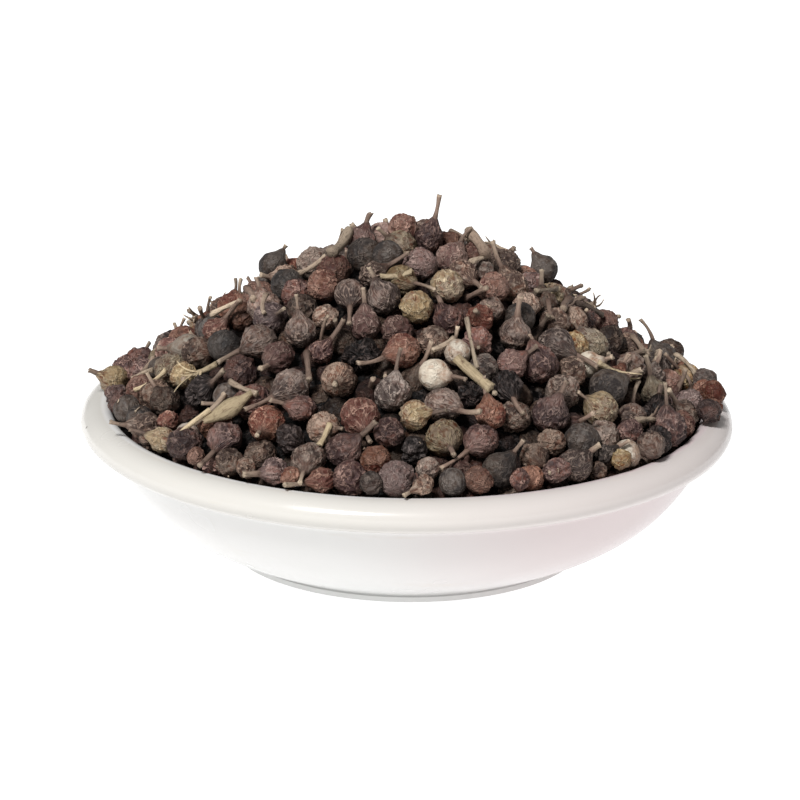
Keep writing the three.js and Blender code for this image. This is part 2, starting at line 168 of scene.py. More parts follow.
class Shader:
    """One material, built from nodes."""

    def __init__(self, name: str) -> None:
        """Makes an empty material.

        Args:
            name: The material's name.
        """
        self.material = bpy.data.materials.new(name)
        self.material.use_nodes = True
        self.tree = self.material.node_tree
        self.tree.nodes.clear()

    def node(
        self, kind: str, settings: dict[str, object], inputs: dict[str | int, object]
    ) -> bpy.types.Node:
        """Adds a node.

        Args:
            kind: The node's type.
            settings: Its properties, set first.
            inputs: A number, colour, Value or output for each socket, by the socket's name or index.

        Returns:
            The node.
        """
        node = self.tree.nodes.new(kind)
        for name, setting in settings.items():
            setattr(node, name, setting)
        for name, entry in inputs.items():
            if isinstance(entry, Value):
                entry = entry.socket
            if isinstance(entry, bpy.types.NodeSocket):
                self.tree.links.new(entry, node.inputs[name])
            else:
                node.inputs[name].default_value = entry
        return node

    def attribute(self, name: str) -> Value:
        """Reads a number that the mesh holds for each point."""
        node = self.node("ShaderNodeAttribute", {"attribute_name": name}, {})
        return Value(self, node.outputs["Fac"])

    def place(self, name: str) -> bpy.types.NodeSocket:
        """Reads a vector that the mesh holds for each point."""
        return self.node("ShaderNodeAttribute", {"attribute_name": name}, {}).outputs["Vector"]

    def noise(
        self, where: bpy.types.NodeSocket, scale: float, detail: float = 3.0, rough: float = 0.55
    ) -> Value:
        """Adds a cloudy noise.

        Args:
            where: The place that it is read at.
            scale: How fine it is.
            detail: How many finer layers it has.
            rough: How strong each finer layer is.

        Returns:
            The noise, about 0 to 1.
        """
        inputs = {"Vector": where, "Scale": scale, "Detail": detail, "Roughness": rough}
        return Value(self, self.node("ShaderNodeTexNoise", {}, inputs).outputs["Fac"])

    def curl(self, where: bpy.types.NodeSocket, scale: float) -> Value:
        """Adds curling lines.

        Args:
            where: The place that they are read at.
            scale: How fine they are.

        Returns:
            A number that is 1 on the crest of a line and less beside it.
        """
        settings = {"noise_type": "RIDGED_MULTIFRACTAL"}
        inputs = {"Vector": where, "Scale": scale, "Detail": 0.0, "Offset": 1.0, "Gain": 1.0}
        return Value(self, self.node("ShaderNodeTexNoise", settings, inputs).outputs["Fac"])

    def cells(self, where: bpy.types.NodeSocket, scale: float, feature: str) -> Value:
        """Adds a pattern of cells.

        Args:
            where: The place that it is read at.
            scale: How fine it is.
            feature: What the distance is measured to: "F1", a cell's middle, or "DISTANCE_TO_EDGE".

        Returns:
            That distance.
        """
        inputs = {"Vector": where, "Scale": scale}
        node = self.node("ShaderNodeTexVoronoi", {"feature": feature}, inputs)
        return Value(self, node.outputs["Distance"])

    def blend(self, share: Value | float, under: object, over: object) -> bpy.types.NodeSocket:
        """Mixes two colours.

        Args:
            share: How much of the second shows.
            under: The first colour.
            over: The second colour.

        Returns:
            The mixed colour's output.
        """
        settings = {"data_type": "RGBA", "blend_type": "MIX"}
        return self.node("ShaderNodeMix", settings, {0: share, 6: under, 7: over}).outputs[2]

    def recolour(
        self, colour: bpy.types.NodeSocket, value: Value, saturation: Value | float = 1.0
    ) -> bpy.types.NodeSocket:
        """Makes a colour lighter or darker, and fuller or paler.

        Args:
            colour: The colour.
            value: What its lightness is multiplied by.
            saturation: What its saturation is multiplied by.

        Returns:
            The new colour's output.
        """
        inputs = {"Color": colour, "Value": value, "Saturation": saturation}
        return self.node("ShaderNodeHueSaturation", {}, inputs).outputs["Color"]

    def ruffle(self, where: bpy.types.NodeSocket, scale: float, by: float) -> bpy.types.NodeSocket:
        """Shifts a place to and fro by a noise.

        Args:
            where: The place.
            scale: How fine the noise is.
            by: The most that it shifts.

        Returns:
            The shifted place.
        """
        noise = self.node("ShaderNodeTexNoise", {}, {"Vector": where, "Scale": scale, "Detail": 2.0})
        settings = {"operation": "MULTIPLY_ADD"}
        shift = {0: noise.outputs["Color"], 1: (2 * by,) * 3, 2: where}
        return self.node("ShaderNodeVectorMath", settings, shift).outputs[0]

    def stretch(self, where: bpy.types.NodeSocket, by: Triple) -> bpy.types.NodeSocket:
        """Scales a place by its axes."""
        node = self.node("ShaderNodeVectorMath", {"operation": "MULTIPLY"}, {0: where, 1: by})
        return node.outputs[0]

    def finish(self, surface: dict[str, object], relief: Value | None = None, depth: float = 0.0) -> None:
        """Adds the surface shader and the output.

        Args:
            surface: What goes in the surface shader's sockets, by name.
            relief: A height from 0 to 1 that shades as bumps.
            depth: The bumps' depth in millimetres.
        """
        entries = dict(surface)
        if relief is not None:
            bumps = {"Height": relief, "Distance": depth * MM, "Strength": 1.0}
            entries["Normal"] = self.node("ShaderNodeBump", {}, bumps).outputs["Normal"]
        shader = self.node("ShaderNodeBsdfPrincipled", {}, entries)
        self.node("ShaderNodeOutputMaterial", {}, {"Surface": shader.outputs[0]})


# ---------------- meshes


class Grid:
    """How the points of a closed surface are joined: a pole, rings from there on, and the other pole."""

    def __init__(self, around: int, rings: int) -> None:
        """Works out the faces.

        Args:
            around: Points in a ring.
            rings: Rings between the poles.
        """
        self.around = around
        self.rings = rings
        turn = np.arange(around)
        east = (turn + 1) % around
        first = 1
        last = 1 + around * (rings - 1)
        far_pole = 1 + around * rings
        head = np.stack([np.zeros(around, int), first + turn, first + east], 1)
        starts = first + around * np.arange(rings - 1)[:, None]
        ring = np.stack([starts + turn, starts + around + turn, starts + around + east, starts + east], 2)
        tail = np.stack([last + turn, np.full(around, far_pole), last + east], 1)
        self.corners = np.concatenate([head.ravel(), ring.ravel(), tail.ravel()])
        self.sizes = np.concatenate(
            [np.full(around, 3), np.full(around * (rings - 1), 4), np.full(around, 3)]
        )
        self.map = self._bake_map(turn)

    def _bake_map(self, turn: np.ndarray) -> np.ndarray:
        """Lays the faces out flat, from 0 to 1 both ways.

        Args:
            turn: The numbers of a ring's points.

        Returns:
            A place on the map for each corner of each face.
        """
        here, there = turn / self.around, (turn + 1) / self.around
        down = np.arange(self.rings + 2) / (self.rings + 1)
        middle = (here + there) / 2

        def pairs(across: Sequence[np.ndarray], along: Sequence[float]) -> np.ndarray:
            """Joins what is across and along the map for one row of faces."""
            columns = [np.stack([a, np.full(self.around, d)], 1) for a, d in zip(across, along)]
            return np.stack(columns, 1).reshape(-1, 2)

        rows = [pairs([middle, here, there], [down[0], down[1], down[1]])]
        for k in range(1, self.rings):
            rows.append(pairs([here, here, there, there], [down[k], down[k + 1], down[k + 1], down[k]]))
        rows.append(pairs([here, middle, there], [down[-2], down[-1], down[-2]]))
        return np.concatenate(rows)


class Pile:
    """Gathers many small closed surfaces into one mesh."""

    GUTTER = 0.03  # of a bake map's cell, left empty on each side

    def __init__(self, name: str) -> None:
        """Starts an empty pile.

        Args:
            name: The name of the object that it becomes.
        """
        self.name = name
        self.grids: list[Grid] = []
        self.points: list[np.ndarray] = []
        self.values: dict[str, list[np.ndarray]] = {}

    def add(self, grid: Grid, points: np.ndarray, values: dict[str, np.ndarray]) -> None:
        """Adds a surface.

        Args:
            grid: How its points are joined.
            points: The points, in millimetres.
            values: What the material reads, a number or vector for each point, by name.
        """
        self.grids.append(grid)
        self.points.append(points)
        for name, numbers in values.items():
            self.values.setdefault(name, []).append(numbers)

    def build(self, material: bpy.types.Material, slot: str, node: str) -> bpy.types.Object:
        """Makes the object, in its place in the frame.

        Args:
            material: Its finish.
            slot: The record's material slot. It is not used.
            node: The frame's node that it stands for, with others.

        Returns:
            The object.
        """
        mesh = bpy.data.meshes.new(self.name)
        points = np.concatenate(self.points) * MM
        firsts = np.cumsum([0] + [len(p) for p in self.points[:-1]])
        corners = np.concatenate([grid.corners + first for grid, first in zip(self.grids, firsts)])
        sizes = np.concatenate([grid.sizes for grid in self.grids])
        mesh.vertices.add(len(points))
        mesh.vertices.foreach_set("co", points.ravel())
        mesh.loops.add(len(corners))
        mesh.loops.foreach_set("vertex_index", corners)
        mesh.polygons.add(len(sizes))
        mesh.polygons.foreach_set("loop_start", np.concatenate([[0], np.cumsum(sizes)[:-1]]))
        mesh.update(calc_edges=True)
        mesh.uv_layers.new(name=BAKE_MAP).uv.foreach_set("vector", self._atlas().ravel())
        for name, chunks in self.values.items():
            numbers = np.concatenate(chunks)
            kind, item = ("FLOAT", "value") if numbers.ndim == 1 else ("FLOAT_VECTOR", "vector")
            mesh.attributes.new(name, kind, "POINT").data.foreach_set(item, numbers.ravel())
        mesh.shade_smooth()
        mesh.materials.append(material)
        obj = bpy.data.objects.new(self.name, mesh)
        bpy.context.scene.collection.objects.link(obj)
        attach(obj, ROOT)
        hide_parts(node)
        LOG.info("%s: %d surfaces, %d triangles", self.name, len(self.grids), int(np.sum(sizes - 2)))
        return obj

    def _atlas(self) -> np.ndarray:
        """Gives each surface a cell of its own on the bake map.

        Returns:
            A place on the map for each corner of each face.
        """
        columns = math.ceil(math.sqrt(len(self.grids)))
        cells = []
        for index, grid in enumerate(self.grids):
            corner = np.array([index % columns, index // columns])
            cells.append((corner + self.GUTTER + (1 - 2 * self.GUTTER) * grid.map) / columns)
        return np.concatenate(cells)


def unit(vector: Iterable[float]) -> np.ndarray:
    """Gives a vector's direction."""
    array = np.asarray(list(vector), float)
    return array / math.sqrt(float(array @ array))


def frame_on(axis: np.ndarray) -> np.ndarray:
    """Gives three directions at right angles.

    Args:
        axis: The last of them.

    Returns:
        The directions, as rows.
    """
    aside = np.array([1.0, 0.0, 0.0]) if abs(axis[0]) < SLANTED else np.array([0.0, 1.0, 0.0])
    first = unit(aside - axis * (aside @ axis))
    return np.stack([first, np.cross(axis, first), axis])


def smooth(values: np.ndarray, low: float, high: float) -> np.ndarray:
    """Goes smoothly from 0 at low to 1 at high."""
    share = np.clip((values - low) / (high - low), 0, 1)
    return share * share * (3 - 2 * share)


# ---------------- the bowl


def rings_of(profile: Sequence[Pair], around: int) -> np.ndarray:
    """Turns a profile round the upright axis.

    Args:
        profile: Radius and height of each of its points, the first and the last on the axis.
        around: Points in a ring.

    Returns:
        The points: a pole, the rings and the other pole.
    """
    turn = 2 * math.pi * np.arange(around) / around
    rings = [np.stack([r * np.cos(turn), r * np.sin(turn), np.full(around, z)], 1) for r, z in profile[1:-1]]
    return np.concatenate([[[0.0, 0.0, profile[0][1]]], *rings, [[0.0, 0.0, profile[-1][1]]]])


def cubic(a: Pair, b: Pair, c: Pair, d: Pair, steps: int) -> list[Pair]:
    """Gives points on a cubic curve, both ends included.

    Args:
        a: Its start.
        b: What it leaves the start towards.
        c: What it comes to the end from.
        d: Its end.
        steps: How many parts it is cut in.

    Returns:
        The points.
    """
    points = []
    for i in range(steps + 1):
        t = i / steps
        s = 1 - t
        shares = (s * s * s, 3 * s * s * t, 3 * s * t * t, t * t * t)
        points.append(tuple(sum(w * p[k] for w, p in zip(shares, (a, b, c, d))) for k in (0, 1)))
    return points


def ellipse_arc(middle: Pair, half: Pair, start: float, end: float, steps: int) -> list[Pair]:
    """Gives points on an arc of an ellipse, both ends included.

    Args:
        middle: The ellipse's middle.
        half: Half its width and half its height.
        start: The angle that the arc starts at, in degrees.
        end: The angle that it ends at.
        steps: How many parts it is cut in.

    Returns:
        The points.
    """
    points = []
    for i in range(steps + 1):
        angle = math.radians(start + (end - start) * i / steps)
        points.append((middle[0] + half[0] * math.cos(angle), middle[1] + half[1] * math.sin(angle)))
    return points


@dataclass(frozen=True)
class Glaze:
    """A white glaze with faint stains and specks; painted shade greys the rim and the low body and tints one
    side pink, painted light pales the foot ring.

    A scale is how fine a noise is. An edge is where it starts to count and where it counts in full.
    """

    white: Colour = paint(218, 217, 215)
    # painted shade: the rim's band is greyer than the white
    rim: Colour = paint(203, 200, 194)
    # painted shade, pinkish grey, on the right-hand side
    painted_side_shade: Colour = paint(205, 190, 190)
    # painted shade low down on the body
    low: Colour = paint(202, 202, 200)
    # painted light: the foot ring is paler than the white
    foot: Colour = paint(240, 240, 238)
    stain: Colour = paint(196, 180, 150)
    speck: Colour = paint(70, 62, 58)
    roughness: float = 0.16
    refraction: float = 1.5
    cloud_scale: float = 0.03  # of the clouds that break up the painted shade on one side
    cloud_edge: Pair = (0.2, 0.6)
    cloud_least: float = 0.6  # how much of that painted shade shows between them
    stain_scale: Triple = (0.05, 0.05, 0.25)
    stain_edge: Pair = (0.6, 0.78)
    stain_share: float = 0.22
    speck_scale: float = 0.09
    speck_edge: Pair = (0.02, 0.04)
    worn_scale: float = 0.1  # of the duller places
    worn_edge: Pair = (0.3, 0.75)
    worn_by: float = 0.12
    wave_scale: float = 0.06
    wave_depth: float = 0.25

    def material(self) -> bpy.types.Material:
        """Builds the glaze.

        Returns:
            The material.
        """
        shader = Shader("glaze")
        place = shader.place("place")
        # Painted shade: the rim's band is greyer.
        colour = shader.blend(shader.attribute("band"), self.white, self.rim)
        # Painted shade low down.
        colour = shader.blend(shader.attribute("low"), colour, self.low)
        # Painted light on the foot ring.
        colour = shader.blend(shader.attribute("foot"), colour, self.foot)
        # Painted shade, pinkish grey, on one side, broken up by clouds.
        cloud = shader.noise(place, self.cloud_scale, detail=2.0).between(*self.cloud_edge)
        painted_side_shade = shader.attribute("painted_side_shade") * (cloud * (1 - self.cloud_least) + self.cloud_least)
        colour = shader.blend(painted_side_shade, colour, self.painted_side_shade)
        blotch = shader.noise(shader.stretch(place, self.stain_scale), 1.0, detail=4.0, rough=0.6)
        colour = shader.blend(blotch.between(*self.stain_edge) * self.stain_share, colour, self.stain)
        grit = shader.cells(place, self.speck_scale, "F1")
        colour = shader.blend(1 - grit.between(*self.speck_edge), colour, self.speck)
        worn = shader.noise(place, self.worn_scale, detail=2.0).between(*self.worn_edge)
        surface = {
            "Base Color": colour,
            "Roughness": self.roughness + worn * self.worn_by,
            "IOR": self.refraction,
        }
        shader.finish(surface, shader.noise(place, self.wave_scale, detail=1.0), self.wave_depth)
        return shader.material


@dataclass(frozen=True)
class Bowl:
    """The bowl: a foot ring, a bulging body, a band round the rim, the lip and the inside."""

    radius: float = 50.0
    height: float = 22.8
    crest_radius: float = 46.6
    band_bottom: float = 17.9
    band_step: float = 1.0  # how far the band stands out from the body
    band_under: float = -60.0  # the angle that the band's round starts at, in degrees
    step_rise: float = 0.2
    body_top_radius: float = 46.8
    body_bulge: tuple[Pair, Pair] = ((39.7, 6.2), (42.1, 9.8))
    foot_radius: float = 27.6
    foot_height: float = 1.0
    foot_straight: float = 0.8  # share of that height that is upright
    foot_width: float = 2.2
    foot_inset: float = 0.15
    edge_round: float = 0.08  # how near the foot ring's edges the shading turns
    floor_height: float = 3.0
    floor_radius: float = 23.0
    wall_bulge: tuple[Pair, Pair] = ((43.6, 14.0), (37.5, 4.4))
    crest_depth: float = 1.4
    crest_width: float = 1.6
    around: int = 176
    wall_steps: int = 20
    crest_steps: int = 8
    body_steps: int = 28
    band_steps: int = 18
    low_range: Pair = (1.2, 11.0)  # heights between which the glaze turns from its painted low shade to white
    shaded_side_way: Pair = (0.86, -0.5)  # the side that has the painted shade
    shaded_side_range: Pair = (0.2, 1.0)  # how far to that side the painted shade starts and is full, in radii
    rim_side_shade: float = 0.55  # how much less of it the band has
    glaze: Glaze = field(default_factory=Glaze)

    def inner_wall(self, steps: int, crest_steps: int) -> list[Pair]:
        """Gives the inside from the crest down to the edge of the floor.

        Args:
            steps: How many parts the wall is cut in.
            crest_steps: How many parts the crest's round is cut in.

        Returns:
            Radius and height of each point.
        """
        lip = (self.crest_radius - self.crest_width, self.height - self.crest_depth)
        middle = (self.crest_radius, lip[1])
        wall = cubic(lip, *self.wall_bulge, (self.floor_radius, self.floor_height), steps)
        return ellipse_arc(middle, (self.crest_width, self.crest_depth), 90, 180, crest_steps) + wall[1:]

    def outer_wall(self) -> list[Pair]:
        """Gives the outside from the foot up to the crest of the rim.

        Returns:
            Radius and height of each point.
        """
        start = (self.foot_radius - self.foot_inset, self.foot_height)
        end = (self.body_top_radius, self.band_bottom)
        half = (self.height - self.band_bottom) / 2
        middle = (self.crest_radius, self.height - half)
        width = self.radius - self.crest_radius
        straight = self.foot_height * self.foot_straight
        return [
            (self.foot_radius, 0.0),
            (self.foot_radius, self.edge_round),
            (self.foot_radius, straight - self.edge_round),
            (self.foot_radius, straight),
            *cubic(start, *self.body_bulge, end, self.body_steps),
            (self.body_top_radius + self.band_step, self.band_bottom + self.step_rise),
            *ellipse_arc(middle, (width, half), self.band_under, 90, self.band_steps),
        ]

    def build(self) -> bpy.types.Object:
        """Makes the bowl in place of the frame's.

        Returns:
            The bowl.
        """
        foot_inside = self.foot_radius - self.foot_width
        profile = [(0.0, self.floor_height)]
        profile += list(reversed(self.inner_wall(self.wall_steps, self.crest_steps)))[:-1]
        profile += list(reversed(self.outer_wall()))
        profile += [(foot_inside, 0.0), (foot_inside, self.foot_height), (0.0, self.foot_height)]
        placed = rings_of(profile, self.around)
        height = placed[:, 2]
        reach = np.hypot(placed[:, 0], placed[:, 1])
        band = ((reach > self.body_top_radius) & (height > self.band_bottom)).astype(float)
        side = (placed[:, :2] @ np.array(self.shaded_side_way)) / self.radius
        values = {
            "place": placed,
            "band": band,
            # painted shade on one side, less of it on the band
            "painted_side_shade": smooth(side, *self.shaded_side_range) * (1 - self.rim_side_shade * band),
            # painted shade low down
            "low": 1 - smooth(height, *self.low_range),
            # painted light on the foot ring
            "foot": (height < self.foot_height * self.foot_straight).astype(float),
        }
        pile = Pile("glazed_bowl")
        pile.add(Grid(self.around, len(profile) - 2), placed, values)
        return pile.build(self.glaze.material(), GLAZE_SLOT, BOWL_NODE)


# ---------------- the heap's order


class Kind(Enum):
    """The kinds of berry in the heap."""

    NETTED = "netted"
    RUSSET = "russet"
    PURPLE = "purple"
    GREY = "grey"
    FLUTED = "fluted"
    SHRIVELLED = "shrivelled"
    STRAW = "straw"
    CREAM = "cream"


@dataclass
class Berry:
    """A berry in its place.

    Attributes:
        middle: Where its middle is.
        radius: Its radius.
        depth: How far its top should lie under the heap's surface.
        kind: What kind it is.
        stalk: The way from its middle to the end of its stalk, if it has one.
        painted_shade: How much painted shade its skin gets for lying deep in the heap, from 0 to 1.
    """

    middle: np.ndarray
    radius: float
    depth: float
    kind: Kind = Kind.NETTED
    stalk: np.ndarray | None = None
    painted_shade: float = 0.0


@dataclass(frozen=True)
class Notable:
    """A berry that shows plainly, listed with its place.

    Attributes:
        at: Where its middle is, seen from above.
        lift: How far its top stands out of the heap's surface.
        stalk: The way from its middle to the end of its stalk, if it has one.
    """

    at: Pair
    radius: float
    kind: Kind
    lift: float = 0.0
    stalk: Triple | None = None


NOTABLE = (
    Notable((3.2, -0.8), 2.4, Kind.PURPLE, stalk=(1.3, 1.6, 6.4)),  # topmost, stalk upright
    Notable((-0.9, 2.6), 2.5, Kind.RUSSET, lift=0.6),
    Notable((-7.3, 3.5), 2.4, Kind.PURPLE, stalk=(1.5, 1.1, 4.3)),
    Notable((-3.1, -6.3), 2.4, Kind.GREY),
    Notable((-21, 8.9), 2.2, Kind.GREY, lift=2.2, stalk=(2.1, 0.9, 3.1)),  # left shoulder
    Notable((21, 8.9), 2.2, Kind.GREY, lift=2.2, stalk=(-2.1, 0.9, 3.1)),  # right shoulder
    Notable((-14.5, 1.4), 2.75, Kind.NETTED, lift=0.3),
    Notable((14.5, 1.4), 2.75, Kind.NETTED, lift=0.3),
    Notable((-12.6, -8.8), 2.6, Kind.RUSSET),
    Notable((12.6, -8.8), 2.6, Kind.RUSSET),
    Notable((-8.5, -13.2), 2.5, Kind.FLUTED, stalk=(-0.1, -7.4, -2.3)),  # stalk down the slope
    Notable((1.2, -16.9), 2.6, Kind.STRAW),
    Notable((5.6, -12.1), 2.6, Kind.STRAW),
    Notable((-15.8, -17.6), 2.4, Kind.FLUTED, stalk=(-0.7, 1.5, 5.5)),  # long neck up
    Notable((15.8, -17.6), 2.4, Kind.FLUTED, stalk=(0.7, 1.5, 5.5)),  # long neck up
    Notable((-0.7, -24.2), 2.65, Kind.RUSSET, stalk=(-6.6, -3.7, -0.8)),
    Notable((-21.9, -15), 2.7, Kind.FLUTED, stalk=(-6.1, -2.8, -2.5)),
    Notable((21.9, -15), 2.7, Kind.FLUTED, stalk=(6.1, -2.8, -2.5)),
    Notable((7.2, -24.4), 2, Kind.CREAM),
    Notable((19.4, -20.3), 3, Kind.PURPLE, stalk=(-1.6, 1.6, 4)),
    Notable((14.5, -27.4), 2.3, Kind.SHRIVELLED, stalk=(2.2, -5.4, -2.4)),
    Notable((-16.8, -26.5), 2.8, Kind.FLUTED, stalk=(-6.7, -3.1, -2.4)),
    Notable((-45, 0), 2.3, Kind.STRAW, lift=2.6, stalk=(-3.9, 0, 1.6)),  # on the rim
    Notable((-42, -12), 2.2, Kind.GREY, lift=0.6),
    Notable((-38.5, -20.5), 2.3, Kind.NETTED, lift=0.6, stalk=(-5.3, -0.6, 1)),  # stalk over the rim
    Notable((-35.6, -26), 2, Kind.STRAW, lift=0.5, stalk=(-5, 1.2, 1.1)),  # stalk over the rim
    Notable((-26.2, -30.7), 2.7, Kind.PURPLE, stalk=(-3.4, -6.7, -1.8)),
    Notable((-6.8, -33.5), 3, Kind.RUSSET, stalk=(1.6, -5.8, -1.7)),  # the largest
    Notable((-14, -38.4), 2.65, Kind.NETTED, stalk=(-1, -6.6, -1.3)),
    Notable((1, -34.4), 2.2, Kind.STRAW, stalk=(4.6, -0.4, 1.1)),
    Notable((10.6, -36.3), 2.6, Kind.PURPLE, stalk=(-5.8, -5.9, -2.2)),  # the longest stalk
    Notable((20.7, -28.9), 2.7, Kind.PURPLE, stalk=(2.3, 1.4, 4.6)),
    Notable((28.3, -23.4), 2.65, Kind.STRAW, stalk=(-3.4, -1.7, 3.2)),
    Notable((25.3, -30.8), 2.75, Kind.GREY),
    Notable((24, -36), 2.6, Kind.FLUTED, stalk=(3.7, 2.6, 2.4)),
    Notable((32, -29.4), 2.1, Kind.CREAM),
    Notable((38.6, -20), 2.9, Kind.PURPLE, stalk=(-0.5, 2, 6.5)),
    Notable((39.8, 11), 2.6, Kind.GREY, lift=1, stalk=(-3.4, 1.6, 6)),
)


class NumberSource:
    """A repeatable source of numbers from 0 to 1."""

    FACTOR = 1664525
    STEP = 1013904223
    SPAN = 2**32

    def __init__(self, seed: int) -> None:
        """Starts at a seed."""
        self.state = seed % self.SPAN

    def __call__(self) -> float:
        """Gives the next number."""
        self.state = (self.state * self.FACTOR + self.STEP) % self.SPAN
        return self.state / self.SPAN


class Crowd:
    """Balls that hold their room in the heap."""

    def __init__(self, room: int = 6000) -> None:
        """Starts with no ball.

        Args:
            room: The most balls that it can take.
        """
        self.middles = np.zeros((room, 3))
        self.radii = np.zeros(room)
        self.count = 0

    def add(self, middle: np.ndarray, radius: float) -> int:
        """Adds a ball.

        Args:
            middle: Its middle.
            radius: Its radius.

        Returns:
            Its number in the crowd.
        """
        self.middles[self.count] = middle
        self.radii[self.count] = radius
        self.count += 1
        return self.count - 1

    def gaps(self, point: np.ndarray) -> np.ndarray:
        """Gives the distance from a point to each ball's surface."""
        off = self.middles[: self.count] - point
        return np.sqrt(off[:, 0] ** 2 + off[:, 1] ** 2 + off[:, 2] ** 2) - self.radii[: self.count]


@dataclass(frozen=True)
class Stalks:
    """The sizes of the stalks and the room that they keep.

    Attributes:
        thick: Radius of the room that a stalk takes.
        facet_growth: How much more room the frame's stalks take at the bowl's wall, as a share.
        stand_out: How far it may stand out of the heap's surface.
        deepest: How far it may reach under that surface.
        rim_room: How high it crosses the rim.
    """

    share: float = 0.24
    tries: int = 8
    shortest: float = 2.4
    longest: float = 5.6
    thick: float = 0.45
    facet_growth: float = 1.2
    stand_out: float = 1.8
    deepest: float = 2.4
    rim_room: float = 1.1
    rim_edge: float = 44.6
    rim_reach: float = 49.3


MORE_STALKS = Stalks(share=0.5, tries=10, shortest=1.6, longest=4.8)
EDGE_STALKS = Stalks(share=0.4, tries=10, shortest=1.6, longest=4.8, rim_edge=60.0)
UNDER_STALKS = Stalks(share=0.6, tries=12, shortest=2.4, longest=6.0, stand_out=1.2, deepest=8.0)


class Form(Enum):
    """The forms of loose stem, as how thick each is from one end to the other."""

    STUB = (1.0, 0.92, 0.9, 0.95, 1.05)
    STALK = (1.15, 0.9, 0.85, 0.85, 1.0)
    SPRAY = (1.2, 1.3, 0.9, 1.1, 0.6)
    POD = (0.35, 0.5, 0.95, 1.0, 0.9, 0.6, 0.35)


# The forms that strewn stems take in turn.
STREWN_FORMS = (Form.STALK, Form.STUB, Form.STALK, Form.SPRAY)


@dataclass(frozen=True)
class Stem:
    """A loose stem.

    Attributes:
        start: Where its base lies, seen from above.
        end: Where its tip lies.
        thick: What its form's shares are multiplied by, for a radius.
        pale: How pale it is, from 0 to 1.
    """

    start: Pair
    end: Pair
    thick: float
    form: Form = Form.STALK
    pale: float = 0.4


